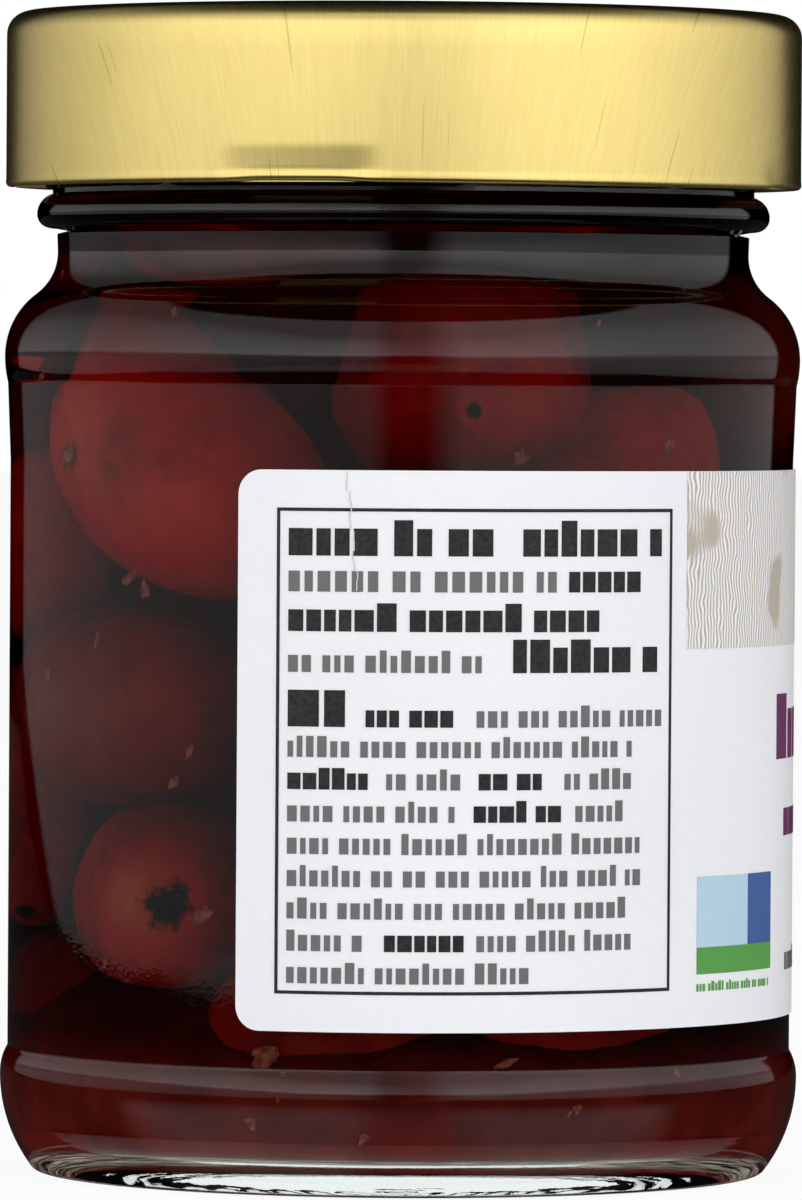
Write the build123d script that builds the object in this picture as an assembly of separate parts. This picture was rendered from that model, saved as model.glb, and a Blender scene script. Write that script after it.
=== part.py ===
from build123d import *

import math
import os

# A sealed glass jar of olives in brine: jar, twist-off lid, paper label, brine and olives.
# Millimetres. The origin is the centre of the foot on the surface it stands on, and +Z is up.
# The jar's own outline is a body of revolution about Z, drawn as (radius, height) pairs.
# Azimuths are in degrees from -Y, where the label's front is read, and grow towards +X.

# Jar, outside. The neck is the driving width: the body, the finish and the lid follow it.
neck_radius = 28.9
panel_overhang = 3.85  # label panel beyond the neck
base_bead_proud = 0.62  # beads beyond the label panel
shoulder_bead_proud = 0.52
panel_flare = 0.25  # widening of the panel below the shoulder bead
finish_step = 0.45  # finish wall beyond the neck

# Jar, heights of its stretches from the foot up.
base_bead_height = 8.1
base_bead_fall = 2.25
panel_height = 55.45
flare_height = 6.4
shoulder_bead_rise = 2.2
shoulder_rise = 8.7
neck_height = 1.5
transfer_bead_low = 1.15
transfer_bead_high = 1.7
transfer_bead_proud = 1.3
notch_depth = 0.9
notch_height = 0.5

# Jar, roundings, walls and foot.
heel_radius = 12.9
foot_round = 0.7
shoulder_radius = 6.5
wall = 2.3
inner_shoulder_radius = 4.2
rim_round = 1.0
foot_ring_width = 2.4
push_up = 1.8  # hollow under the middle of the foot
base_thickness = 2.0
floor_dome = 0.8
floor_corner = 6.0

# Lid: a twist-off cap pressed from thin tinplate, with a rolled edge and four lugs.
lid_height = 14.75
lid_wall = 0.35
lid_corner = 1.9
lid_to_bead = 2.15  # lid's rolled edge above the middle of the transfer bead
curl_radius = 0.42
curl_proud = 0.08
recess_depth = 0.9
recess_clearance = 1.0  # recessed top panel inside the bore
recess_slope = 1.0
button_radius = 9.0
button_rise = 0.45
lug_count = 4
lug_azimuth = -15.0
lug_height = 0.9
lug_arc = 20.0
lug_clearance = 0.7  # lug off the finish wall
dent_depth = 0.6
dent_height = 1.9
thread_proud = 1.5
thread_height = 1.6
thread_arc = 52.0
thread_gap = 0.1  # thread above the lug that hooks under it
thread_clearance = 2.0  # inside of the skirt off the thread

# Label: one sheet of paper that wraps two thirds of the panel.
label_thickness = 0.2
label_azimuth = -23.6
label_wrap = 242.0
label_corner = 2.0
label_foot_gap = 3.2
label_head_gap = 0.5  # label below the start of the panel's flare

# Contents.
headspace = 7.2  # brine below the rim
olive_length = 25.0
olive_width = 17.5
olive_gap = 0.4  # olives off the glass
olive_rows = 5
olives_in_row = 6
heap_rings = 30
heap_sides = 44

# Widths that follow.
panel_radius = neck_radius + panel_overhang
base_bead_radius = panel_radius + base_bead_proud
shoulder_bead_radius = panel_radius + shoulder_bead_proud
finish_radius = neck_radius + finish_step
transfer_bead_radius = finish_radius + transfer_bead_proud
thread_radius = finish_radius + thread_proud
cavity_radius = panel_radius - wall
bore_radius = neck_radius - wall
skirt_radius = thread_radius + thread_clearance + lid_wall
heel_inset = heel_radius - math.sqrt(heel_radius**2 - base_bead_height**2)
foot_radius = base_bead_radius - heel_inset

# Heights that follow.
panel_foot_z = base_bead_height + base_bead_fall
panel_head_z = panel_foot_z + panel_height
shoulder_z = panel_head_z + shoulder_bead_rise
neck_z = shoulder_z + shoulder_rise
notch_z = neck_z + neck_height
transfer_foot_z = notch_z + notch_height
transfer_z = transfer_foot_z + transfer_bead_low
lid_foot_z = transfer_z + lid_to_bead
lid_top_z = lid_foot_z + lid_height
rim_z = lid_top_z - lid_wall
floor_z = push_up + base_thickness
floor_edge_z = floor_z - floor_dome
brine_z = rim_z - headspace


def turned(outline, arc=360.0):
    """The outline, drawn as (radius, height), spun about Z through arc degrees from +X."""
    return revolve(Plane.XZ * make_face(outline), Axis.Z, arc)


def block(inner_radius, outer_radius, low_z, high_z, arc=360.0):
    """A ring, or a stretch of one, of rectangular section."""
    corners = [(inner_radius, low_z), (outer_radius, low_z), (outer_radius, high_z), (inner_radius, high_z)]
    return turned(Polyline(*corners, close=True), arc)


def at_azimuth(part, azimuth, arc=0.0):
    """A part made along +X, or spun from there through arc degrees, centred on an azimuth."""
    return Rot(Z=azimuth - 90 - arc / 2) * part


def shoulder_radii(inset, rise, lower_radius):
    """Radii of two arcs that meet tangent, both upright at their outer ends."""
    return lower_radius, (inset**2 + rise**2) / (2 * inset) - lower_radius


def shoulder_curve(low, high, lower_radius):
    """A convex and then a hollow arc, from a wide low point up to a narrow high one."""
    lower, upper = shoulder_radii(low[0] - high[0], high[1] - low[1], lower_radius)
    share = lower / (lower + upper)
    start = (low[0] - lower, low[1])
    end = (high[0] + upper, high[1])
    meet = (start[0] + (end[0] - start[0]) * share, start[1] + (end[1] - start[1]) * share)
    return [TangentArc(low, meet, tangent=(0, 1)), TangentArc(high, meet, tangent=(0, -1))]


def glass_outline():
    """Half section of the jar's outside, closed along the axis at the rim."""
    ring_radius = foot_radius - foot_ring_width
    bead = (base_bead_radius, base_bead_height)
    panel_foot = (panel_radius, panel_foot_z)
    flare_foot = (panel_radius, panel_head_z - flare_height)
    panel_head = (panel_radius + panel_flare, panel_head_z)
    shoulder = (shoulder_bead_radius, shoulder_z)
    neck = (neck_radius, neck_z)
    notch_foot = (neck_radius, notch_z)
    notch = (neck_radius - notch_depth, notch_z + notch_height / 2)
    transfer_foot = (finish_radius, transfer_foot_z)
    transfer = (transfer_bead_radius, transfer_z)
    transfer_head = (finish_radius, transfer_z + transfer_bead_high)
    rim = (finish_radius, rim_z)
    return [
        TangentArc((0, push_up), (ring_radius, 0), tangent=(1, 0)),
        Line((ring_radius, 0), (foot_radius, 0)),
        TangentArc(bead, (foot_radius, 0), tangent=(0, -1)),
        TangentArc(bead, panel_foot, tangent=(0, 1)),
        Line(panel_foot, flare_foot),
        Line(flare_foot, panel_head),
        TangentArc(shoulder, panel_head, tangent=(0, -1)),
        *shoulder_curve(shoulder, neck, shoulder_radius),
        Polyline(neck, notch_foot, notch, transfer_foot),
        TangentArc(transfer, transfer_foot, tangent=(0, -1)),
        TangentArc(transfer, transfer_head, tangent=(0, 1)),
        Polyline(transfer_head, rim, (0, rim_z), (0, push_up)),
    ]


def cavity():
    """The room inside the jar, from its domed floor up to the rim."""
    corner_foot = (cavity_radius - floor_corner, floor_edge_z)
    corner_head = (cavity_radius, floor_edge_z + floor_corner)
    shoulder = (cavity_radius, shoulder_z)
    neck = (bore_radius, neck_z)
    return turned(
        [
            TangentArc((0, floor_z), corner_foot, tangent=(1, 0)),
            TangentArc(corner_head, corner_foot, tangent=(0, -1)),
            Line(corner_head, shoulder),
            *shoulder_curve(shoulder, neck, inner_shoulder_radius),
            Polyline(neck, (bore_radius, rim_z), (0, rim_z), (0, floor_z)),
        ]
    )


def lug_azimuths():
    return [lug_azimuth + 360 / lug_count * i for i in range(lug_count)]


def jar():
    """The glass: rounded foot and rim, and four short threads for the lid's lugs."""
    glass = turned(glass_outline()) - cavity()
    rings = glass.edges().filter_by(GeomType.CIRCLE)
    glass = fillet(rings.filter_by(lambda e: abs(e.center().Z) < 0.01 and e.radius > foot_radius / 2), foot_round)
    rings = glass.edges().filter_by(GeomType.CIRCLE)
    glass = fillet(rings.filter_by(lambda e: abs(e.center().Z - rim_z) < 0.01), rim_round)
    thread_z = lid_foot_z + lug_height + thread_gap
    thread = block(finish_radius - wall / 2, thread_radius, thread_z, thread_z + thread_height, thread_arc)
    for azimuth in lug_azimuths():
        glass += at_azimuth(thread, azimuth, thread_arc)
    return glass


def lid_outline(inset):
    """Half section of the lid's solid outside, drawn in by inset: sunken top panel, raised button."""
    side = skirt_radius - inset
    top = lid_top_z - inset
    sunken = top - recess_depth
    recess_edge = bore_radius - recess_clearance + inset / 2
    corner = lid_corner - inset
    return [
        Line((0, lid_foot_z), (side, lid_foot_z)),
        Line((side, lid_foot_z), (side, top - corner)),
        TangentArc((side, top - corner), (side - corner, top), tangent=(0, 1)),
        Line((side - corner, top), (recess_edge, top)),
        Line((recess_edge, top), (recess_edge - recess_slope, sunken)),
        Line((recess_edge - recess_slope, sunken), (button_radius, sunken)),
        TangentArc((0, sunken + button_rise), (button_radius, sunken), tangent=(1, 0)),
        Line((0, sunken + button_rise), (0, lid_foot_z)),
    ]


def lid():
    """The pressed shell with its rolled edge, and a flat dent in the skirt above each lug."""
    shell = turned(lid_outline(0.0)) - turned(lid_outline(lid_wall))
    curl_centre = skirt_radius + curl_proud - curl_radius
    curl_z = lid_foot_z + curl_radius
    shell -= block(0, skirt_radius + wall, lid_foot_z - wall, curl_z)
    dent_radius = skirt_radius - dent_depth
    dent_foot = lid_foot_z + 2 * curl_radius
    wide = 2 * math.sqrt(skirt_radius**2 - dent_radius**2)
    narrow = 2 * math.sqrt((skirt_radius - lid_wall / 2) ** 2 - dent_radius**2)
    side = (Align.MIN, Align.CENTER, Align.MIN)
    cut = Pos(dent_radius, 0, dent_foot) * Box(2 * dent_depth, wide, dent_height, align=side)
    plate = Pos(dent_radius - lid_wall, 0, dent_foot) * Box(lid_wall, narrow, dent_height, align=side)
    lug = block(finish_radius + lug_clearance, curl_centre, lid_foot_z, lid_foot_z + lug_height, lug_arc)
    curl = Plane.XZ * (Pos(curl_centre, curl_z) * Circle(curl_radius))
    shell += revolve(curl, Axis.Z)
    for azimuth in lug_azimuths():
        shell -= at_azimuth(cut, azimuth)
        shell += at_azimuth(plate, azimuth)
        shell += at_azimuth(lug, azimuth, lug_arc)
    return shell


def label():
    """The paper, curved round the panel, with rounded corners."""
    foot = panel_foot_z + label_foot_gap
    head = panel_head_z - flare_height - label_head_gap
    sheet = block(panel_radius, panel_radius + label_thickness, foot, head, label_wrap)
    corners = sheet.edges().filter_by(lambda e: e.length < 2 * label_thickness)
    sheet = fillet(corners, label_corner)
    return Rot(Z=label_azimuth - 90) * sheet


def cavity_limit(z):
    """Inside radius of the glass at height z."""
    low, high = shoulder_radii(cavity_radius - bore_radius, shoulder_rise, inner_shoulder_radius)
    meet_z = shoulder_z + shoulder_rise * low / (low + high)
    if z < floor_edge_z + floor_corner:
        below = floor_edge_z + floor_corner - z
        return cavity_radius - floor_corner + math.sqrt(max(floor_corner**2 - below**2, 0.0))
    if z < shoulder_z:
        return cavity_radius
    if z < meet_z:
        return cavity_radius - low + math.sqrt(low**2 - (z - shoulder_z) ** 2)
    if z < neck_z:
        return bore_radius + high - math.sqrt(high**2 - (neck_z - z) ** 2)
    return bore_radius


def olives():
    """Rows of olives that lie against the glass: middle, long direction, half length and half width."""
    low = floor_edge_z + olive_width * 0.62
    high = brine_z - olive_width * 0.55
    places = []
    for row in range(olive_rows):
        for column in range(olives_in_row):
            number = row * olives_in_row + column
            azimuth = math.tau * (column + 0.5 * (row % 2) + 0.12 * math.sin(2.3 * number)) / olives_in_row
            z = low + (high - low) * row / (olive_rows - 1) + 1.6 * math.sin(1.7 * number + 0.4)
            lean = 1.1 * math.sin(4.1 * number + 1.0)
            half_length = olive_length / 2 * (1 + 0.07 * math.sin(3.3 * number))
            half_width = olive_width / 2 * (1 + 0.05 * math.sin(5.9 * number + 2.0))
            out = Vector(math.cos(azimuth), math.sin(azimuth), 0)
            along = Vector(-out.Y * math.cos(lean), out.X * math.cos(lean), math.sin(lean))
            reach = min(cavity_limit(z - half_width * 0.6), cavity_limit(z + half_width * 0.6))
            middle = out * (reach - olive_gap - half_width) + Vector(0, 0, z)
            places.append((middle, along, half_length, half_width))
    return places


def reach_of(place, origin, out):
    """How far from the axis a ray from origin leaves one olive, or nothing where it misses."""
    middle, along, half_length, half_width = place
    offset = origin - middle
    stretch = 1 / half_length**2 - 1 / half_width**2
    a = 1 / half_width**2 + stretch * along.dot(out) ** 2
    b = offset.dot(out) / half_width**2 + stretch * along.dot(out) * along.dot(offset)
    c = offset.dot(offset) / half_width**2 + stretch * along.dot(offset) ** 2 - 1
    root = b * b - a * c
    return (math.sqrt(root) - b) / a if root > 0 else 0.0


def heap():
    """The olives as one solid out to their uneven outline, faceted between rings of points."""
    places = olives()
    low = floor_z + olive_gap
    high = brine_z - 2 * olive_gap
    middle_reach = cavity_radius - olive_width / 2
    rings = []
    for i in range(heap_rings + 1):
        z = low + (high - low) * i / heap_rings
        limit = cavity_limit(z) - olive_gap
        ring = []
        for side in range(heap_sides):
            angle = math.tau * side / heap_sides
            out = Vector(math.cos(angle), math.sin(angle), 0)
            reach = max(reach_of(place, Vector(0, 0, z), out) for place in places)
            reach = min(max(reach, min(middle_reach, limit * 0.8)), limit)
            ring.append(out * reach + Vector(0, 0, z))
        rings.append(ring)
    faces = []
    for lower, upper in zip(rings, rings[1:]):
        for side in range(heap_sides):
            after = (side + 1) % heap_sides
            faces.append((lower[side], lower[after], upper[after]))
            faces.append((lower[side], upper[after], upper[side]))
    for side in range(heap_sides):
        after = (side + 1) % heap_sides
        faces.append((Vector(0, 0, low), rings[0][after], rings[0][side]))
        faces.append((Vector(0, 0, high), rings[-1][side], rings[-1][after]))
    return Solid(Shell([Face(Wire.make_polygon(corners)) for corners in faces]))


def brine(olive_heap):
    """The liquid: the jar's room up to the level, round the olives."""
    above = block(0, panel_radius, brine_z, lid_top_z)
    return cavity() - above - olive_heap


olive_heap = heap()
os.makedirs("parts", exist_ok=True)
export_step(jar(), "parts/jar.step")
export_step(lid(), "parts/lid.step")
export_step(label(), "parts/label.step")
export_step(brine(olive_heap), "parts/brine.step")
export_step(olive_heap, "parts/olives.step")
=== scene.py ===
import math
import random

import bmesh
import bpy
import numpy as np
from mathutils import Matrix, Vector, noise


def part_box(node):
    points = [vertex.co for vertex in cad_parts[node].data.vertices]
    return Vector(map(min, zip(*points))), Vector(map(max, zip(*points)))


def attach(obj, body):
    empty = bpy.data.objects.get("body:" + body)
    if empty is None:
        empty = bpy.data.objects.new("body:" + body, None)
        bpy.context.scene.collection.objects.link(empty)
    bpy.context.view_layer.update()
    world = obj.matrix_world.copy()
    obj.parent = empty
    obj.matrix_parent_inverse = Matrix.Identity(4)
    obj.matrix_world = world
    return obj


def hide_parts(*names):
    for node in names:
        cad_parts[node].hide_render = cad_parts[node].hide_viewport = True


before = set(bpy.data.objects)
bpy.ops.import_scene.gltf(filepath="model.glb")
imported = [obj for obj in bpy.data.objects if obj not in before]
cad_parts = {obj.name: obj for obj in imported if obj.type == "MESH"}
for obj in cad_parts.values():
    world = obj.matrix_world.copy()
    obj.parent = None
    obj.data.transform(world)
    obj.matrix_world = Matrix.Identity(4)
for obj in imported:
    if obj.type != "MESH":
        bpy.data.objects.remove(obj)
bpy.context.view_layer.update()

bl_info = {
    "name": "Jar of Olives",
    "version": (1, 0, 0),
    "blender": (4, 5, 0),
    "location": "3D View > Sidebar > Olives",
    "description": "Builds a glass jar of olives in brine, with its lid, label, contents and studio",
    "category": "Add Mesh",
}

MM = 0.001

# Places and sizes that come from the frame, in millimetres.
JAR_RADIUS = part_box("jar")[1].x / MM
RIM_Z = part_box("jar")[1].z / MM
LID_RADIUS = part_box("lid")[1].x / MM
LID_FOOT_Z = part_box("lid")[0].z / MM
LID_TOP_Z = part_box("lid")[1].z / MM
LABEL_FOOT_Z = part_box("label")[0].z / MM
LABEL_HEAD_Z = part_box("label")[1].z / MM
LABEL_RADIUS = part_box("label")[1].x / MM
CAVITY_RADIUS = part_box("brine")[1].x / MM
FLOOR_EDGE_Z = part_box("brine")[0].z / MM
BRINE_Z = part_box("brine")[1].z / MM

# The glass, in millimetres: the same named sizes as the CAD part.
PANEL_RADIUS = JAR_RADIUS - 0.62
BASE_BEAD_Z = 8.1
PANEL_FOOT_Z = 10.35
PANEL_HEAD_Z = 65.8
FLARE = 0.25
FLARE_HEIGHT = 6.4
SHOULDER_RADIUS = PANEL_RADIUS + 0.52
SHOULDER_Z = 68.0
SHOULDER_ARC = 6.5
INNER_SHOULDER_ARC = 4.2
NECK_RADIUS = PANEL_RADIUS - 3.85
NECK_Z = 76.7
NOTCH_Z = 78.2
NOTCH_DEPTH = 0.9
NOTCH_HEIGHT = 0.5
FINISH_RADIUS = NECK_RADIUS + 0.45
TRANSFER_Z = 79.85
TRANSFER_RADIUS = FINISH_RADIUS + 1.3
BORE_RADIUS = NECK_RADIUS - (PANEL_RADIUS - CAVITY_RADIUS)
HEEL_ARC = 12.9
FOOT_ROUND = 0.7
RIM_ROUND = 1.0
RING_WIDTH = 2.4
PUSH_UP = 1.8
FLOOR_Z = FLOOR_EDGE_Z + 0.8
FLOOR_CORNER = 6.0
LUG_AZIMUTHS = [-15.0 + 90.0 * i for i in range(4)]
LABEL_AZIMUTH = -23.6
LABEL_WRAP = 242.0

# Refraction of soda-lime glass and of salt brine, against air.
GLASS_IOR = 1.5
BRINE_IOR = 1.34

# How far the paper, the print and the crease lie out from the glass, and how thick they are, in
# millimetres.
PAPER_LIFT = 0.18
PAPER_THICKNESS = 0.17
INK_LIFT = 0.215
CREASE_LIFT = 0.23
INK_THICKNESS = 0.02


# ---------------------------------------------------------------- geometry helpers

# Steps in a rounded corner, and the angle in degrees past which an edge looks sharp.
CORNER_STEPS = 5
SMOOTH_BELOW = 35.0


def tangent_arc(start, end, tangent, steps):
    """Points after start on the arc that leaves start along tangent and reaches end."""
    start, end, tangent = Vector(start), Vector(end), Vector(tangent).normalized()
    chord = end - start
    half = math.atan2(tangent.x * chord.y - tangent.y * chord.x, tangent.dot(chord))
    points = []
    for i in range(1, steps + 1):
        turn = half * i / steps
        length = chord.length * math.sin(turn) / math.sin(half)
        points.append(start + Matrix.Rotation(turn, 2) @ tangent * length)
    return points


def shoulder_radii(inset, rise, lower_arc):
    """Radii of two arcs that meet tangent, both upright at their outer ends."""
    return lower_arc, (inset**2 + rise**2) / (2 * inset) - lower_arc


def shoulder_curve(low, high, lower_arc, steps):
    """Points after low, up a convex and then a hollow arc to high."""
    lower, upper = shoulder_radii(low[0] - high[0], high[1] - low[1], lower_arc)
    start = Vector((low[0] - lower, low[1]))
    end = Vector((high[0] + upper, high[1]))
    meet = start.lerp(end, lower / (lower + upper))
    hollow = tangent_arc(high, meet, (0, -1), steps)
    return tangent_arc(low, meet, (0, 1), steps) + hollow[-2::-1] + [Vector(high)]


def rounded_corner(before, corner, after, radius):
    """Points of the arc that rounds a corner of an outline."""
    corner = Vector(corner)
    to_before = (Vector(before) - corner).normalized()
    to_after = (Vector(after) - corner).normalized()
    reach = radius / math.tan(to_before.angle(to_after) / 2)
    start = corner + to_before * reach
    return [start] + tangent_arc(start, corner + to_after * reach, -to_before, CORNER_STEPS)


def spun(name, outline, steps, crease=SMOOTH_BELOW):
    """An outline of (radius, height) in millimetres, spun about Z into a closed, smooth mesh."""
    bm = bmesh.new()
    verts = [bm.verts.new((max(p[0], 0.0) * MM, 0, p[1] * MM)) for p in outline]
    for a, b in zip(verts, verts[1:]):
        bm.edges.new((a, b))
    bmesh.ops.spin(
        bm, geom=bm.verts[:] + bm.edges[:], cent=(0, 0, 0), axis=(0, 0, 1),
        angle=math.tau, steps=steps, use_merge=True,
    )
    bmesh.ops.remove_doubles(bm, verts=bm.verts, dist=MM * 1e-4)
    return finished(name, bm, crease)


def finished(name, bm, crease=SMOOTH_BELOW, recalc=True):
    """The bmesh as an object at the origin, smooth but for its sharp edges."""
    if recalc:
        bmesh.ops.recalc_face_normals(bm, faces=bm.faces)
    for face in bm.faces:
        face.smooth = True
    for edge in bm.edges:
        edge.smooth = len(edge.link_faces) < 2 or edge.calc_face_angle(0.0) < math.radians(crease)
    mesh = bpy.data.meshes.new(name)
    bm.to_mesh(mesh)
    bm.free()
    piece = bpy.data.objects.new(name, mesh)
    bpy.context.scene.collection.objects.link(piece)
    return piece


def dress(piece, *materials):
    """The piece with its materials, in the order of their slots."""
    for material in materials:
        piece.data.materials.append(material)
    return piece


# ---------------------------------------------------------------- material helpers

# Settings of Mix nodes: between two colours, and one colour darkened by another.
COLOURS = {"data_type": "RGBA"}
DARKEN = {"data_type": "RGBA", "blend_type": "MULTIPLY", "Factor": 1.0}


def linear(code):
    """An sRGB hex colour as linear red, green, blue and alpha."""
    parts = [int(code[i:i + 2], 16) / 255 for i in (1, 3, 5)]
    return tuple(c / 12.92 if c <= 0.04045 else ((c + 0.055) / 1.055) ** 2.4 for c in parts) + (1.0,)


def grey(level):
    """A linear grey with alpha."""
    return (level, level, level, 1.0)


def new_material(name):
    """An empty material and its node tree."""
    material = bpy.data.materials.new(name)
    material.use_nodes = True
    material.node_tree.nodes.clear()
    return material, material.node_tree


def add(tree, kind, settings=None, **links):
    """One node with its settings and its links. A link is named for its input, with _ for a space, or _N
    for the input's number. The setting "stops" holds a colour ramp's (position, colour) pairs."""
    node = tree.nodes.new("ShaderNode" + kind)
    for key, value in (settings or {}).items():
        if key == "stops":
            elements = node.color_ramp.elements
            while len(elements) < len(value):
                elements.new(0.5)
            for element, (position, colour) in zip(elements, value):
                element.position = position
                element.color = colour
        elif key in node.inputs:
            node.inputs[key].default_value = value
        else:
            setattr(node, key, value)
    for key, source in links.items():
        name = int(key[1:]) if key[1:].isdigit() else key.replace("_", " ")
        if isinstance(source, bpy.types.NodeSocket):
            tree.links.new(source, node.inputs[name])
        else:
            node.inputs[name].default_value = source
    return node


def around_axis(tree, places):
    """Sockets for a place's part across the jar's axis, its distance from the axis and its turn from -Y."""
    x, y, _ = add(tree, "SeparateXYZ", _0=places).outputs
    flat = add(tree, "CombineXYZ", _0=x, _1=y).outputs[0]
    radius = add(tree, "VectorMath", {"operation": "LENGTH"}, _0=flat).outputs["Value"]
    back = add(tree, "Math", {"operation": "MULTIPLY"}, _0=y, _1=-1.0)
    turn = add(tree, "Math", {"operation": "ARCTAN2"}, _0=x, _1=back.outputs[0]).outputs[0]
    return flat, radius, turn


# ---------------------------------------------------------------- glass

# The upward part of a normal past which a face of the cavity counts as its floor.
LEVEL_FACE = 0.72


def cavity_limit(z):
    """Inside radius of the glass at a height, in millimetres."""
    low, high = shoulder_radii(CAVITY_RADIUS - BORE_RADIUS, NECK_Z - SHOULDER_Z, INNER_SHOULDER_ARC)
    meet_z = SHOULDER_Z + (NECK_Z - SHOULDER_Z) * low / (low + high)
    if z < FLOOR_EDGE_Z + FLOOR_CORNER:
        below = min(FLOOR_EDGE_Z + FLOOR_CORNER - z, FLOOR_CORNER)
        return CAVITY_RADIUS - FLOOR_CORNER + math.sqrt(FLOOR_CORNER**2 - below**2)
    if z < SHOULDER_Z:
        return CAVITY_RADIUS
    if z < meet_z:
        return CAVITY_RADIUS - low + math.sqrt(low**2 - (z - SHOULDER_Z) ** 2)
    if z < NECK_Z:
        return BORE_RADIUS + high - math.sqrt(high**2 - (NECK_Z - z) ** 2)
    return BORE_RADIUS


def cavity_outline(grow=0.0):
    """The glass's inside from the middle of the floor up to the neck, let into the wall by grow."""
    wall = CAVITY_RADIUS + grow
    corner_foot = (CAVITY_RADIUS - FLOOR_CORNER, FLOOR_EDGE_Z - grow)
    corner_head = (wall, FLOOR_EDGE_Z + FLOOR_CORNER)
    floor = (0.0, FLOOR_Z - grow)
    corner = tangent_arc(corner_head, corner_foot, (0, -1), 12)
    points = [Vector(floor)] + tangent_arc(floor, corner_foot, (1, 0), 8)
    points += corner[-2::-1] + [Vector(corner_head), Vector((wall, SHOULDER_Z))]
    return points + shoulder_curve(
        (wall, SHOULDER_Z), (BORE_RADIUS + grow, NECK_Z), INNER_SHOULDER_ARC + grow, 12,
    )


def glass_outline():
    """The jar's wall from the hollow of its foot, up the outside, over the rim and down to its floor."""
    bead = (JAR_RADIUS, BASE_BEAD_Z)
    foot_radius = JAR_RADIUS - HEEL_ARC + math.sqrt(HEEL_ARC**2 - BASE_BEAD_Z**2)
    foot = (foot_radius, 0.0)
    ring = (foot_radius - RING_WIDTH, 0.0)
    heel = tangent_arc(bead, foot, (0, -1), 28)
    panel_foot = (PANEL_RADIUS, PANEL_FOOT_Z)
    panel_head = (PANEL_RADIUS + FLARE, PANEL_HEAD_Z)
    shoulder = (SHOULDER_RADIUS, SHOULDER_Z)
    neck = (NECK_RADIUS, NECK_Z)
    notch = (NECK_RADIUS - NOTCH_DEPTH, NOTCH_Z + NOTCH_HEIGHT / 2)
    transfer_foot = (FINISH_RADIUS, NOTCH_Z + NOTCH_HEIGHT)
    transfer = (TRANSFER_RADIUS, TRANSFER_Z)
    transfer_head = (FINISH_RADIUS, TRANSFER_Z + 1.7)
    # The hollow of the foot has many steps, so that the mould's rings can be laid into it.
    points = [Vector((0.0, PUSH_UP))] + tangent_arc((0.0, PUSH_UP), ring, (1, 0), 90)[:-1]
    points += rounded_corner(points[-1], ring, foot, FOOT_ROUND)
    points += rounded_corner(ring, foot, heel[-3], FOOT_ROUND)
    points += [p for p in heel[-2::-1] if p.y > FOOT_ROUND] + [Vector(bead)]
    points += tangent_arc(bead, panel_foot, (0, 1), 10)
    points += [Vector((PANEL_RADIUS, PANEL_FOOT_Z + step)) for step in (0.15, 0.4, 12.0, 24.0, 36.0, 47.0)]
    flare = Vector((PANEL_RADIUS, PANEL_HEAD_Z - FLARE_HEIGHT))
    points += [flare] + [flare.lerp(Vector(panel_head), share) for share in (0.15, 0.5, 0.93, 0.97, 1.0)]
    points += tangent_arc(shoulder, panel_head, (0, -1), 6)[-2::-1] + [Vector(shoulder)]
    points += shoulder_curve(shoulder, neck, SHOULDER_ARC, 16)
    points += [Vector((NECK_RADIUS + 0.05, NOTCH_Z)), Vector(notch)]
    points += tangent_arc(transfer, transfer_foot, (0, -1), 8)[::-1] + [Vector(transfer)]
    points += tangent_arc(transfer, transfer_head, (0, 1), 8)
    thread_foot, thread_head = thread_span()
    thread = (thread_foot - 0.2, thread_foot, thread_head, thread_head + 0.4)
    points += [Vector((FINISH_RADIUS, z)) for z in thread]
    outer_rim, inner_rim = (FINISH_RADIUS, RIM_Z), (BORE_RADIUS, RIM_Z)
    points += rounded_corner(transfer_head, outer_rim, inner_rim, RIM_ROUND)
    points += rounded_corner(outer_rim, inner_rim, neck, RIM_ROUND)
    return points + cavity_outline()[::-1]


def ripple_foot(piece):
    """Lays the shallow, uneven rings of the mould's base plate into the hollow of the foot."""
    outermost = JAR_RADIUS - 6.5
    ring_spacing, ring_height = 1.9, 0.015
    rough_size, rough_height = 1.6, 0.016
    for vert in piece.data.vertices:
        co = vert.co
        radius = math.hypot(co.x, co.y) / MM
        if co.z / MM > PUSH_UP + 0.1 or radius > outermost:
            continue
        drift = noise.noise(Vector((co.x, co.y, 0)) / (9 * MM))
        ring = math.sin(radius * math.tau / ring_spacing + 2.5 * drift) * ring_height
        rough = rough_height * noise.noise(Vector((co.x, co.y, 0)) / (rough_size * MM))
        co.z += (ring + rough) * smooth_step(outermost - radius, 0.0, 1.5) * MM


def thread_span():
    """Foot and head of the threads, hidden under the lid."""
    foot = LID_FOOT_Z + 1.0
    return foot, foot + 1.6


def azimuth_of(co):
    """Degrees from -Y, growing towards +X."""
    return math.degrees(math.atan2(co.x, -co.y))


def from_nearest_lug(co):
    """Degrees round the jar from a point to the nearest of the lid's lugs."""
    return min(abs((azimuth_of(co) - lug + 180) % 360 - 180) for lug in LUG_AZIMUTHS)


def smooth_step(value, low, high):
    """0 below low and 1 above high, with an even rise between."""
    share = min(max((value - low) / (high - low), 0.0), 1.0)
    return share * share * (3 - 2 * share)


def raise_threads(piece):
    """Pushes out the four short threads that the lid's lugs hook under."""
    foot, head = thread_span()
    thread_depth = 1.5
    for vert in piece.data.vertices:
        co = vert.co
        radius = math.hypot(co.x, co.y) / MM
        if abs(radius - FINISH_RADIUS) > 0.05 or not foot - 0.1 < co.z / MM < head + 0.1:
            continue
        push = thread_depth * (1 - smooth_step(from_nearest_lug(co), 22.0, 26.0))
        scale = (radius + push) / radius
        co.x *= scale
        co.y *= scale


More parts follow.
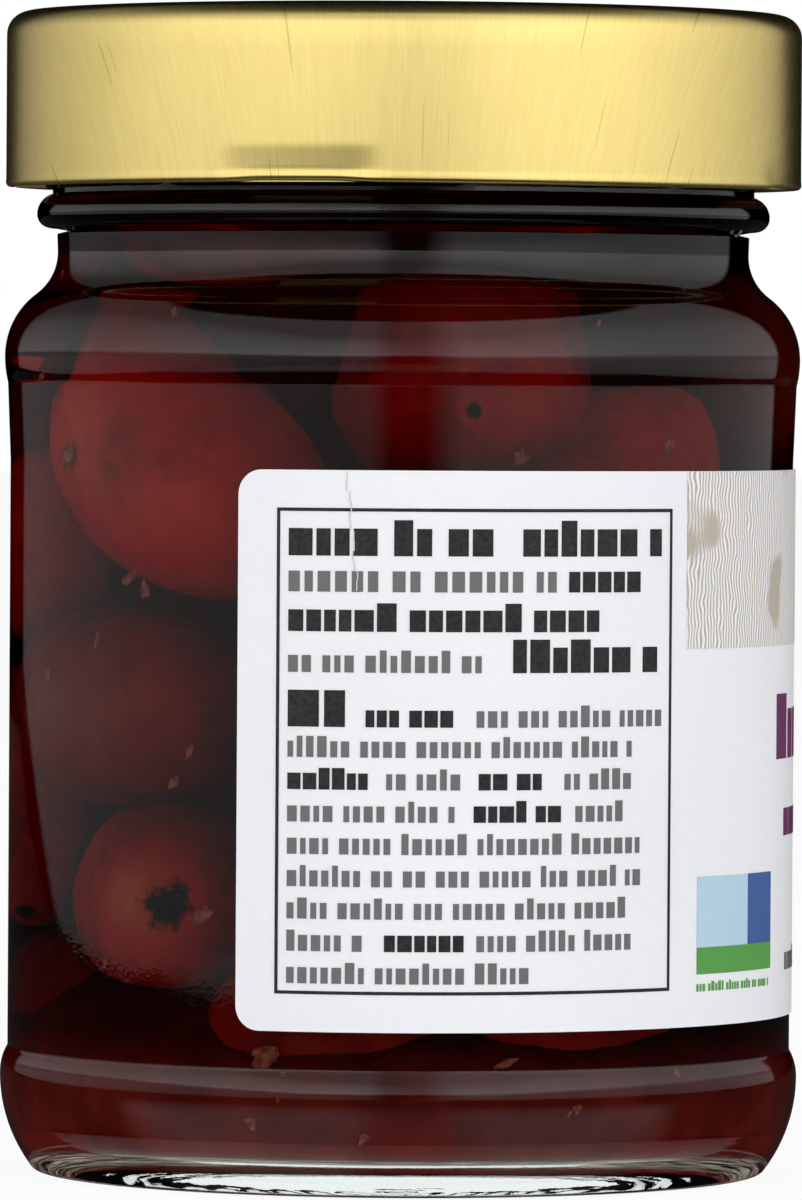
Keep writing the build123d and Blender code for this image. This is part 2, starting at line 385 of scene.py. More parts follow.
def soda_lime_glass():
    """Clear moulded soda-lime glass: glossy, with a faint waviness and a fine orange peel from the mould
    that make the lights in it run unevenly."""
    material, tree = new_material("Moulded soda-lime glass")
    coords = add(tree, "TexCoord")
    mould = add(tree, "TexNoise", {"Scale": 1 / (14 * MM), "Detail": 1.0}, Vector=coords.outputs["Object"])
    wavy = add(tree, "Bump", {"Strength": 0.06, "Distance": 0.4 * MM}, Height=mould.outputs["Fac"])
    peel = add(tree, "TexNoise", {"Scale": 1 / (0.4 * MM), "Detail": 1.0}, Vector=coords.outputs["Object"])
    bump = add(
        tree, "Bump", {"Strength": 1.0, "Distance": 0.002 * MM}, Height=peel.outputs["Fac"],
        Normal=wavy.outputs[0],
    )
    glass = add(
        tree, "BsdfPrincipled",
        {"Base Color": linear("#F4FBF7"), "Roughness": 0.0, "IOR": GLASS_IOR, "Transmission Weight": 1.0},
        Normal=bump.outputs[0],
    )
    add(tree, "OutputMaterial", Surface=glass.outputs[0])
    return material


def wetted_glass():
    """The glass's inner wall, wet with brine: glass and brine are so alike that it bends light a little
    and gives no reflection of its own."""
    material, tree = new_material("Glass wetted by brine")
    coords = add(tree, "TexCoord")
    mould = add(tree, "TexNoise", {"Scale": 1 / (22 * MM), "Detail": 1.0}, Vector=coords.outputs["Object"])
    bump = add(tree, "Bump", {"Strength": 0.1, "Distance": 0.5 * MM}, Height=mould.outputs["Fac"])
    glass = add(
        tree, "BsdfRefraction", {"Color": linear("#F7FBF9"), "Roughness": 0.0, "IOR": GLASS_IOR},
        Normal=bump.outputs[0],
    )
    add(tree, "OutputMaterial", Surface=glass.outputs[0])
    return material


def open_floor():
    """The glass's floor over the thick foot: clear in the middle, where the brine's own underside bends
    the light, and towards the edge painted with short bright and dark streaks: painted light and shade
    that stand for the light of the table gathered by the foot."""
    material, tree = new_material("Glass floor under brine with painted streaks")
    coords = add(tree, "TexCoord")
    _, radius, turn = around_axis(tree, coords.outputs["Object"])
    rings = add(tree, "Math", {"operation": "MULTIPLY"}, _0=radius, _1=1 / (0.45 * MM))
    arcs = add(tree, "Math", {"operation": "MULTIPLY"}, _0=turn, _1=3.2)
    painted_streak_coords = add(tree, "CombineXYZ", _0=rings.outputs[0], _1=arcs.outputs[0])
    uneven = add(tree, "TexNoise", {"Scale": 1.0, "Detail": 2.0, "Roughness": 0.6}, Vector=painted_streak_coords.outputs[0])
    # Painted light and shade: the bright and dark streak colours on a dull white stand for light that the
    # foot gathers.
    colour = add(
        tree, "ValToRGB",
        {"stops": [(0.40, linear("#1A1210")), (0.50, linear("#A8A298")), (0.60, linear("#FFFCF2"))]},
        Fac=uneven.outputs["Fac"],
    ).outputs[0]
    scatter = add(tree, "BsdfDiffuse", Color=colour)
    clear = add(tree, "BsdfTransparent", {"Color": grey(1.0)})
    edge = add(tree, "MapRange", {"From Min": 20 * MM, "From Max": 23 * MM, "To Max": 0.85}, _0=radius)
    rim = add(tree, "MapRange", {"From Min": 27.0 * MM, "From Max": 26.4 * MM}, _0=radius)
    painted_streak_band = add(tree, "Math", {"operation": "MULTIPLY"}, _0=edge.outputs[0], _1=rim.outputs[0])
    mix = add(tree, "MixShader", _0=painted_streak_band.outputs[0], _1=clear.outputs[0], _2=scatter.outputs[0])
    add(tree, "OutputMaterial", Surface=mix.outputs[0])
    return material


def wetted_slot(face):
    """Material slot of one of the glass's faces: 0 dry, 1 wetted wall, 2 wetted floor."""
    middle, normal = face.center, face.normal
    radius, z = math.hypot(middle.x, middle.y) / MM, middle.z / MM
    inside = radius < cavity_limit(z) + 0.2 and z > FLOOR_EDGE_Z - 0.2
    if inside and normal.z > LEVEL_FACE and z < FLOOR_Z + 1.5:
        return 2
    inward = middle.x * normal.x + middle.y * normal.y < 0 or z < FLOOR_Z + 1 and normal.z > 0.7
    return 1 if inside and inward and z < BRINE_Z else 0


class JAR_OT_glass(bpy.types.Operator):
    """Spin the glass jar with its foot, beads, shoulder, finish and threads"""

    bl_idname = "olive_jar.glass"
    bl_label = "Glass jar"

    def execute(self, context):
        piece = spun("glass_jar", glass_outline(), steps=256)
        raise_threads(piece)
        ripple_foot(piece)
        dress(piece, soda_lime_glass(), wetted_glass(), open_floor())
        for face in piece.data.polygons:
            face.material_index = wetted_slot(face)
        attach(piece, "root")
        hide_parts("jar")
        return {"FINISHED"}


# ---------------------------------------------------------------- brine

def brine_liquid(settings):
    """Olive brine: clear, stained a deep reddish brown, so that it darkens fast with depth."""
    material, tree = new_material("Olive brine")
    coords = add(tree, "TexCoord")
    ripple = add(tree, "TexNoise", {"Scale": 1 / (30 * MM), "Detail": 0.0}, Vector=coords.outputs["Object"])
    bump = add(tree, "Bump", {"Strength": 0.02, "Distance": 0.2 * MM}, Height=ripple.outputs["Fac"])
    surface = add(
        tree, "BsdfRefraction", {"Color": grey(1.0), "Roughness": 0.0, "IOR": BRINE_IOR},
        Normal=bump.outputs[0],
    )
    colour = linear(settings.brine_tint)
    volume = add(tree, "VolumeAbsorption", {"Color": colour, "Density": settings.brine_strength / MM})
    add(tree, "OutputMaterial", Surface=surface.outputs[0], Volume=volume.outputs[0])
    return material


def brine_underside(settings):
    """The brine where it rests on the thick glass of the foot: light in the glass glances off it."""
    material, tree = new_material("Brine on the foot")
    surface = add(tree, "BsdfGlass", {"Color": grey(1.0), "Roughness": 0.0, "IOR": BRINE_IOR / GLASS_IOR})
    colour = linear(settings.brine_tint)
    volume = add(tree, "VolumeAbsorption", {"Color": colour, "Density": settings.brine_strength / MM})
    add(tree, "OutputMaterial", Surface=surface.outputs[0], Volume=volume.outputs[0])
    return material


class JAR_OT_brine(bpy.types.Operator):
    """Fill the jar with brine that reaches just into the glass"""

    bl_idname = "olive_jar.brine"
    bl_label = "Brine"

    def execute(self, context):
        settings = context.scene.olive_jar
        grow = settings.let_in / MM
        # The brine climbs the glass: steps in from the wall and down from the level.
        steps = ((0.0, 0.0), (0.4, 0.5), (1.4, 0.8))
        meniscus = [(BORE_RADIUS + grow - inward, BRINE_Z - down) for inward, down in steps]
        outline = cavity_outline(grow) + meniscus + [(0.0, BRINE_Z - 0.9)]
        piece = dress(spun("brine", outline, steps=256), brine_liquid(settings), brine_underside(settings))
        for face in piece.data.polygons:
            on_foot = face.normal.z < -LEVEL_FACE and face.center.z / MM < FLOOR_Z + 1.5
            face.material_index = 1 if on_foot else 0
        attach(piece, "root")
        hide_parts("brine")
        return {"FINISHED"}


# ---------------------------------------------------------------- olives

# Olives that lie against the glass where the label leaves it bare: azimuth and height of the middle,
# lean of the long axis from level, how far that axis points out at the glass (degrees),
# length, width and distance from the glass (millimetres), how light the skin is drawn (its own tone
# and painted light and shade together), and the scar's size.
SHOWN_OLIVES = [
    (-47, 58.6, -33, 0, 28.0, 19.3, 0.5, 0.84, 0.05),
    (12.5, 65.3, 80, 98, 24.0, 20.0, 0.5, 0.64, 0.5),
    (47, 56.0, 60, 0, 24.0, 18.0, 1.2, 0.76, 0.05),
    (-100, 52.5, 14, 0, 24.0, 16.8, 1.0, 0.72, 1.0),
    (-62, 39.2, 0, 0, 27.0, 16.8, 0.7, 0.34, 0.05),
    (-54, 23.3, 0, 50, 25.0, 17.4, 0.5, 0.66, 1.7),
    (-92, 13.0, 10, 0, 24.0, 15.5, 3.2, 0.22, 1.0),
    (-10, 12.6, 10, 0, 24.0, 16.5, 1.6, 0.42, 0.05),
    (34, 12.8, -8, 0, 25.0, 17.0, 1.4, 0.42, 0.05),
    (-38, 79.0, 15, 0, 23.0, 16.5, 1.2, 0.95, 0.05),
    (52, 77.5, 5, 0, 23.0, 16.0, 3.4, 0.14, 0.05),
]

# Bits of flesh in plain sight: azimuth in degrees, height and size in millimetres.
SHOWN_BITS = [
    (-60.6, 59.8, 1.5), (-45, 49.9, 1.2), (-42, 48.9, 0.9), (-33.4, 35.8, 0.9), (-36, 33.4, 0.7),
    (-30.7, 22.7, 1.3), (31.3, 70.3, 0.35), (18.1, 60.0, 0.9), (16.5, 11.0, 1.1), (-38, 70.8, 0.5),
    (-20, 11.5, 1.5), (-18, 8.6, 1.3), (-23, 6.5, 1.0), (28, 7.5, 1.0), (46, 9.0, 0.9), (-5, 5.4, 0.9),
]
HIDDEN_BITS = 26

# The hidden olives: rows up the jar, olives in a row, their least gap to the glass in millimetres,
# and how many times the heap is pushed apart.
ROWS = 5
OLIVES_IN_ROW = 6
OLIVE_GAP = 0.3
SETTLING_ROUNDS = 160


def olive_axes(azimuth, lean, point_out):
    """Outward direction at an azimuth, and the long axis of an olive there (degrees)."""
    turn = math.radians(azimuth)
    out = Vector((math.sin(turn), -math.cos(turn), 0.0))
    sideways = Vector((math.cos(turn), math.sin(turn), 0.0))
    lean, point_out = math.radians(lean), math.radians(point_out)
    flat = sideways * math.cos(lean) + Vector((0, 0, math.sin(lean)))
    return out, (flat * math.cos(point_out) + out * math.sin(point_out)).normalized()


def olive_balls(place):
    """Three balls that stand for one olive while the heap settles: middles and radii. Those at its ends
    are a little smaller than its middle."""
    middle, axis, length, width = place
    end_ball = width * 0.42
    end = axis * (length / 2 - end_ball)
    return [(middle - end, end_ball), (middle, width / 2), (middle + end, end_ball)]


def starting_places(rng):
    """The shown olives, and the rest in staggered rows where there is room for them."""
    places = []
    for azimuth, z, lean, point_out, length, width, gap, _, _ in SHOWN_OLIVES:
        out, axis = olive_axes(azimuth, lean, point_out)
        reach = math.sqrt((width / 2) ** 2 + ((length / 2) ** 2 - (width / 2) ** 2) * out.dot(axis) ** 2)
        limit = min(cavity_limit(z - width * 0.3), cavity_limit(z + width * 0.3))
        places.append((out * (limit - gap - reach) + Vector((0, 0, z)), axis, length, width))
    shown = len(places)
    low, high = FLOOR_EDGE_Z + 10.0, BRINE_Z - 9.0
    from_axis, room = 21.0, 12.5
    for row in range(ROWS):
        z = low + (high - low) * row / (ROWS - 1)
        for column in range(OLIVES_IN_ROW):
            azimuth = (column + 0.5 * (row % 2)) * 360 / OLIVES_IN_ROW
            out, axis = olive_axes(azimuth + rng.uniform(-9, 9), rng.uniform(-70, 70), rng.uniform(-20, 20))
            middle = out * from_axis + Vector((0, 0, z + rng.uniform(-1.5, 1.5)))
            if all((middle - other[0]).length > room for other in places[:shown]):
                places.append((middle, axis, rng.uniform(23.0, 26.5), rng.uniform(15.8, 18.2)))
    return places, shown


def settled_places(rng):
    """The heap after its hidden olives have been pushed apart and kept inside the glass."""
    places, shown = starting_places(rng)
    for _ in range(SETTLING_ROUNDS):
        balls = [olive_balls(place) for place in places]
        centres = np.array([[tuple(c) for c, _ in group] for group in balls])
        radii = np.array([[r for _, r in group] for group in balls])
        for i in range(shown, len(places)):
            middle, axis, length, width = places[i]
            move, turn = Vector((0, 0, 0)), Vector((0, 0, 0))
            for k in range(3):
                gaps = centres[i, k] - centres
                far = np.linalg.norm(gaps, axis=2)
                over = np.maximum(radii + radii[i, k] - far, 0.0)
                over[i] = 0.0
                push = Vector((gaps * (over / np.maximum(far, 1e-6))[:, :, None]).sum(axis=(0, 1))) * 0.45
                centre, radius = Vector(centres[i, k]), radii[i, k]
                flat = Vector((centre.x, centre.y, 0))
                beyond = flat.length + radius - (cavity_limit(centre.z) - OLIVE_GAP)
                if beyond > 0:
                    push -= flat.normalized() * beyond
                push.z += max(FLOOR_Z + radius - centre.z, 0) - max(centre.z + radius - BRINE_Z + 1.0, 0)
                move += push
                turn += (centre - middle).cross(push)
            middle = middle + move * 0.4
            axis = (axis + turn.cross(axis) * 0.006).normalized()
            places[i] = (middle, axis, length, width)
    return places, shown


def olive_shape(bm, place, number, fine, tone, scar):
    """Adds one olive: an uneven egg with a dimple where its stem was torn off."""
    middle, axis, length, width = place
    rng = random.Random(number)
    made = bmesh.ops.create_icosphere(bm, subdivisions=4 if fine else 3, radius=1.0)
    stem = bm.verts.layers.float_vector["stem"]
    tone_and_shade_layer = bm.verts.layers.float["tone"]
    taper = rng.uniform(0.04, 0.12)
    bend = rng.uniform(-0.05, 0.05)
    seed = Vector((number * 3.7, number * 1.3, 0))
    turned = axis.to_track_quat("X", "Z").to_matrix()
    dimple_depth, dimple_width = 0.10, 0.24
    for vert in made["verts"]:
        p = vert.co.copy()
        vert[stem] = (p.x, p.y / scar, p.z / scar)
        # The olive's tone: its own colour together with painted light and shade.
        vert[tone_and_shade_layer] = tone
        from_stem = math.acos(min(max(p.x, -1.0), 1.0))
        swell = 1 + 0.035 * noise.noise(p * 1.6 + seed) + 0.012 * noise.noise(p * 4.5 + seed)
        dimple = dimple_depth * math.exp(-((from_stem / dimple_width) ** 2))
        p.y = p.y * (1 - taper * p.x) + bend * (1 - p.x**2)
        p.z = p.z * (1 - taper * p.x)
        p.x = p.x * (1 - dimple)
        p = Vector((p.x * length / 2, p.y * width / 2, p.z * width / 2)) * swell
        vert.co = (turned @ p + middle) * MM


def olive_skin(settings):
    """Cured olive skin under brine: dull, reddish brown and mottled, with torn flesh and a dark pit at
    the stem, and dimmer towards the shade of the lid."""
    material, tree = new_material("Cured olive skin")
    coords = add(tree, "TexCoord")
    places = coords.outputs["Object"]
    mottle = add(tree, "TexNoise", {"Scale": 1 / (7 * MM), "Detail": 4.0, "Roughness": 0.6}, Vector=places)
    browns = zip((0.3, 0.5, 0.72), map(linear, (settings.skin_dark, settings.skin, settings.skin_light)))
    skin = add(tree, "ValToRGB", {"stops": list(browns)}, Fac=mottle.outputs["Fac"]).outputs[0]
    cloud = add(tree, "TexNoise", {"Scale": 1 / (24 * MM), "Detail": 1.0}, Vector=places)
    shade = add(
        tree, "ValToRGB", {"stops": [(0.35, grey(0.78)), (0.65, grey(1.0))]}, Fac=cloud.outputs["Fac"],
    ).outputs[0]
    shaded = add(tree, "Mix", DARKEN, _6=skin, _7=shade)
    stem = add(tree, "Attribute", {"attribute_name": "stem"})
    parts = add(tree, "SeparateXYZ", _0=stem.outputs["Vector"])
    # Each olive's tone: its own colour together with painted light and shade.
    tone = add(tree, "Attribute", {"attribute_name": "tone"}).outputs["Fac"]
    height = add(tree, "SeparateXYZ", _0=places).outputs[2]
    # The lid's shade falls slowly over the shoulder and fast at the neck.
    fall = {"To Min": 1.0, "To Max": 0.15}
    under_lid = add(tree, "MapRange", {"From Min": 0.064, "From Max": 0.0775, **fall}, _0=height)
    neck = add(tree, "MapRange", {"From Min": 0.0772, "From Max": 0.0786, **fall}, _0=height)
    dim = add(tree, "Math", {"operation": "MULTIPLY"}, _0=neck.outputs[0], _1=under_lid.outputs[0])
    lit = add(tree, "Math", {"operation": "MULTIPLY"}, _0=tone, _1=dim.outputs[0])
    flat = add(tree, "CombineXYZ", _0=parts.outputs[1], _1=parts.outputs[2])
    off_stem = add(tree, "VectorMath", {"operation": "LENGTH"}, _0=flat.outputs[0]).outputs["Value"]
    far_end = add(tree, "MapRange", {"From Min": 0.1, "From Max": -0.1, "To Max": 2.0}, _0=parts.outputs[0])
    ragged = add(tree, "TexNoise", {"Scale": 1 / (2.6 * MM), "Detail": 4.0, "Roughness": 0.7}, Vector=places)
    uneven = add(tree, "MapRange", {"To Min": -0.22, "To Max": 0.22}, _0=ragged.outputs["Fac"])
    edge = add(tree, "Math", {"operation": "ADD"}, _0=off_stem, _1=uneven.outputs[0])
    beyond = add(tree, "Math", {"operation": "ADD"}, _0=edge.outputs[0], _1=far_end.outputs[0])
    scar = add(tree, "MapRange", {"From Min": 0.40, "From Max": 0.24}, _0=beyond.outputs[0])
    pit = add(tree, "MapRange", {"From Min": 0.17, "From Max": 0.10}, _0=beyond.outputs[0])
    bare = add(tree, "Mix", COLOURS, _0=scar.outputs[0], _6=shaded.outputs[2], _7=linear(settings.flesh))
    colour = add(tree, "Mix", COLOURS, _0=pit.outputs[0], _6=bare.outputs[2], _7=linear("#160806"))
    toned = add(tree, "VectorMath", {"operation": "SCALE"}, _0=colour.outputs[2], Scale=lit.outputs[0])
    grain = add(tree, "TexNoise", {"Scale": 1 / (1.2 * MM), "Detail": 3.0}, Vector=places)
    bump = add(tree, "Bump", {"Strength": 0.25, "Distance": 0.15 * MM}, Height=grain.outputs["Fac"])
    surface = add(
        tree, "BsdfPrincipled", {"Roughness": 0.5, "Specular IOR Level": 0.0},
        Base_Color=toned.outputs[0], Normal=bump.outputs[0],
    )
    add(tree, "OutputMaterial", Surface=surface.outputs[0])
    return material


def sunken_mass():
    """The deeper olives and settled flesh, seen only dimly through the brine: a mottled dull red, darkened
    with painted shade up most of its height and most under the lid, and lightest at the floor, where
    settled flesh is paler and painted light stands for light that comes up through the foot.
    """
    material, tree = new_material("Dim olives and settled flesh")
    coords = add(tree, "TexCoord")
    places = coords.outputs["Object"]
    height = add(tree, "SeparateXYZ", _0=places).outputs[2]
    share = add(tree, "MapRange", {"From Max": 0.09}, _0=height)
    # Lightest on the floor, from settled flesh and from painted light of the table through the foot;
    # painted shade darkens the rest, and the top under the lid the most.
    flesh_and_painted_shade = ((0.03, 0.55), (0.10, 0.42), (0.14, 0.14), (0.24, 0.10), (0.3, 0.12), (0.85, 0.12), (0.92, 0.04))
    stops = [(height_share, grey(shade)) for height_share, shade in flesh_and_painted_shade]
    levels = add(tree, "ValToRGB", {"stops": stops}, Fac=share.outputs[0]).outputs[0]
    mottle = add(tree, "TexNoise", {"Scale": 1 / (6 * MM), "Detail": 3.0}, Vector=places)
    skin = add(
        tree, "ValToRGB", {"stops": [(0.3, linear("#6E1A14")), (0.7, linear("#A4342A"))]},
        Fac=mottle.outputs["Fac"],
    ).outputs[0]
    colour = add(tree, "Mix", DARKEN, _6=skin, _7=levels)
    surface = add(
        tree, "BsdfPrincipled", {"Roughness": 0.8, "Specular IOR Level": 0.0}, Base_Color=colour.outputs[2],
    )
    add(tree, "OutputMaterial", Surface=surface.outputs[0])
    return material


def loose_flesh():
    """Torn bits of olive flesh that float in the brine: pale, dull and fibrous."""
    material, tree = new_material("Torn olive flesh")
    coords = add(tree, "TexCoord")
    fibre = add(tree, "TexNoise", {"Scale": 1 / (0.8 * MM), "Detail": 3.0}, Vector=coords.outputs["Object"])
    colour = add(
        tree, "ValToRGB", {"stops": [(0.3, linear("#6E3228")), (0.7, linear("#A8604E"))]},
        Fac=fibre.outputs["Fac"],
    ).outputs[0]
    surface = add(tree, "BsdfPrincipled", {"Roughness": 0.6, "Specular IOR Level": 0.0}, Base_Color=colour)
    add(tree, "OutputMaterial", Surface=surface.outputs[0])
    return material


class JAR_OT_olives(bpy.types.Operator):
    """Pack the jar with olives, uneven in size and shape"""

    bl_idname = "olive_jar.olives"
    bl_label = "Olives"

    def execute(self, context):
        settings = context.scene.olive_jar
        places, shown = settled_places(random.Random(settings.packing_seed))
        bm = bmesh.new()
        bm.verts.layers.float_vector.new("stem")
        bm.verts.layers.float.new("tone")
        rng = random.Random(settings.packing_seed + 2)
        for number, place in enumerate(places):
            if number < shown:
                tone, scar = SHOWN_OLIVES[number][-2:]
            else:
                tone, scar = rng.uniform(0.35, 0.9), rng.uniform(0.8, 1.5)
                # Painted shade: hidden olives on the +X side above 45 mm are drawn at 0.3 of their tone.
                if place[0].x > 12.0 and place[0].z > 45.0:
                    tone *= 0.3
            olive_shape(bm, place, number, number < shown, tone, scar)
        piece = dress(finished("olive_heap", bm, crease=180.0, recalc=False), olive_skin(settings))
        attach(piece, "root")
        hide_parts("olives")
        return {"FINISHED"}


class JAR_OT_core(bpy.types.Operator):
    """Fill the heap's middle with a smaller core, wider where flesh has settled on the floor"""

    bl_idname = "olive_jar.core"
    bl_label = "Core of the heap"

    def execute(self, context):
        gap = 0.15
        settled = [FLOOR_EDGE_Z + rise for rise in (0.2, 0.5, 1.0, 1.7, 2.6, 3.6, 4.8, 6.0)]
        outline = [(0.0, FLOOR_Z + 0.3), (12.0, FLOOR_Z + 0.15)]
        outline += [(cavity_limit(z) - gap, z) for z in settled]
        outline += [(29.7, 10.5), (28.8, 12.0), (26.5, 14.5), (22.5, 18.5)]
        outline += [(21.5, 21.0 + 3.5 * i) for i in range(15)]
        outline += [(20.5, 76.0), (20.0, 80.0), (19.0, 85.0), (12.0, 86.5), (0.0, 87.0)]
        piece = spun("heap_core", outline, steps=96)
        for vert in piece.data.vertices:
            co = vert.co
            if math.hypot(co.x, co.y) > 5 * MM and co.z > 10.5 * MM:
                swell = noise.noise(co / (9 * MM)) * 1.2 + noise.noise(co / (3 * MM)) * 0.35 - 0.5
                co.x *= 1 + swell * MM / math.hypot(co.x, co.y)
                co.y *= 1 + swell * MM / math.hypot(co.x, co.y)
        dress(piece, sunken_mass())
        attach(piece, "root")
        return {"FINISHED"}


class JAR_OT_flesh_bits(bpy.types.Operator):
    """Scatter torn bits of flesh near the glass"""

    bl_idname = "olive_jar.flesh_bits"
    bl_label = "Bits of flesh"

    def execute(self, context):
        settings = context.scene.olive_jar
        rng = random.Random(settings.packing_seed + 1)
        places = list(SHOWN_BITS)
        places += [
            (rng.uniform(-180, 180), rng.uniform(6, 80), rng.uniform(0.4, 1.1))
            for _ in range(HIDDEN_BITS)
        ]
        bm = bmesh.new()
        for azimuth, z, size in places:
            out, axis = olive_axes(azimuth, rng.uniform(20, 110), rng.uniform(-15, 15))
            made = bmesh.ops.create_icosphere(bm, subdivisions=3, radius=1.0)
            middle = out * (cavity_limit(z) - 0.22 - rng.uniform(0, 0.1)) + Vector((0, 0, z))
            turned = Matrix((axis, out.cross(axis), out)).transposed()
            seed = Vector((z, azimuth, 0))
            thin = rng.uniform(0.3, 0.75)
            for vert in made["verts"]:
                co = vert.co
                p = co * (1 + 0.9 * noise.noise(co * 1.3 + seed) + 0.35 * noise.noise(co * 4 + seed))
                flake = p.z * 0.08 + 0.05 * noise.noise(co * 2 + seed)
                p = Vector((p.x * size * 0.75, p.y * size * thin * 0.75, flake))
                vert.co = (middle + turned @ p) * MM
        piece = dress(finished("flesh_bits", bm, crease=180.0), loose_flesh())
        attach(piece, "root")
        return {"FINISHED"}


# ---------------------------------------------------------------- lid

# How far a lug reaches round the lid, in degrees.
LUG_WIDTH = 20.0


def lid_outline():
    """The lid's shell: up the outside, over the top to the button, and back along the inside."""
    sheet = 0.3
    side = LID_RADIUS - 0.03
    corner = 1.9
    sunken = LID_TOP_Z - 0.9
    recess = BORE_RADIUS - 1.0
    curl = 0.42
    curl_centre = Vector((LID_RADIUS - curl, LID_FOOT_Z + curl))
    turns = [math.tau * (-0.46 + 0.052 * i) for i in range(10)]
    around = [curl_centre + Vector((math.cos(turn), math.sin(turn))) * curl for turn in turns]
    # Close steps where the dents over the lugs are pressed in.
    rises = (0.75, 1.1, 1.4, 1.7, 2.0, 2.3, 2.6, 2.9, 3.2, 3.6, 4.2, 5.0, 8.0, 11.0)
    outside = around + [Vector((side, LID_FOOT_Z + rise)) for rise in rises]
    corner_foot = (side, LID_TOP_Z - corner)
    outside += [Vector(corner_foot)] + tangent_arc(corner_foot, (side - corner, LID_TOP_Z), (0, 1), 10)
    ring, step = (recess, LID_TOP_Z), (recess - 1.0, sunken)
    outside += rounded_corner((side - corner, LID_TOP_Z), ring, step, 0.5)
    outside += rounded_corner(ring, step, (9.5, sunken), 0.6)
    outside += [Vector((18.0, sunken)), Vector((9.5, sunken))]
    button, button_height = 9.0, 0.45
    turns = [math.pi / 2 * i / 8 for i in range(1, 9)]
    outside += [Vector((button * math.cos(turn), sunken + button_height * math.sin(turn))) for turn in turns]
    inside = [Vector((0.0, sunken + button_height - sheet)), Vector((button, sunken - sheet))]
    inside += [Vector((recess - 1.3, sunken - sheet))]
    inside += [Vector((recess - 0.3, LID_TOP_Z - sheet)), Vector((side - corner, LID_TOP_Z - sheet))]
    inside += [Vector((side - sheet, LID_TOP_Z - corner))]
    rises = (11.0, 8.0, 5.0, 4.2, 3.4, 2.6, 1.8, 1.25, 0.95)
    inside += [Vector((side - sheet, LID_FOOT_Z + rise)) for rise in rises]
    return outside + inside + [around[0]]


def press_lugs(piece):
    """Presses a flat dent into the skirt above each lug, folds the lug in, and makes the edge uneven."""
    dent_foot, dent_head, dent_depth = LID_FOOT_Z + 0.92, LID_FOOT_Z + 2.82, 0.12
    pinch_depth, lug_lift = 0.12, 0.14
    for vert in piece.data.vertices:
        co = vert.co
        radius = math.hypot(co.x, co.y) / MM
        z = co.z / MM
        away = from_nearest_lug(co)
        if radius < LID_RADIUS - 2.0 or z > LID_FOOT_Z + 6:
            continue
        deep = dent_depth * (1 - smooth_step(away, 8.0, 13.0))
        rise = min(max((dent_head + 0.2 - z) / (dent_head - dent_foot), 0.0), 1.0)
        upright = rise * smooth_step(z, dent_foot - 0.5, dent_foot)
        below_dent = 1 - smooth_step(z, dent_foot - 0.3, dent_foot)
        pinch = pinch_depth * (1 - smooth_step(away, 6, 12)) * below_dent
        scale = (radius - deep * upright - pinch) / radius
        co.x *= scale
        co.y *= scale
        azimuth = math.radians(azimuth_of(co))
        wave = 0.16 - 0.16 * math.cos(azimuth) + 0.06 * math.sin(3 * azimuth + 2.6)
        lift = lug_lift * (1 - smooth_step(away, 5, 12))
        co.z += (wave + lift) * (1 - smooth_step(z, LID_FOOT_Z + 0.5, LID_FOOT_Z + 3.5)) * MM


def lug_blocks(bm):
    """Adds the four lugs, turned in from the rolled edge."""
    for azimuth in LUG_AZIMUTHS:
        inner, outer, foot, head = FINISH_RADIUS + 0.8, LID_RADIUS - 0.6, 0.12, 0.8
        corners = [(inner, foot), (outer, foot), (outer, head), (inner, head)]
        start = math.radians(azimuth - 90 - LUG_WIDTH / 2)
        turned = Matrix.Rotation(start, 3, "Z")
        verts = [bm.verts.new(turned @ Vector((r * MM, 0, (LID_FOOT_Z + z) * MM))) for r, z in corners]
        face = bm.faces.new(verts)
        bmesh.ops.spin(
            bm, geom=[face] + list(face.edges) + verts, cent=(0, 0, 0), axis=(0, 0, 1),
            angle=math.radians(LUG_WIDTH), steps=8,
        )


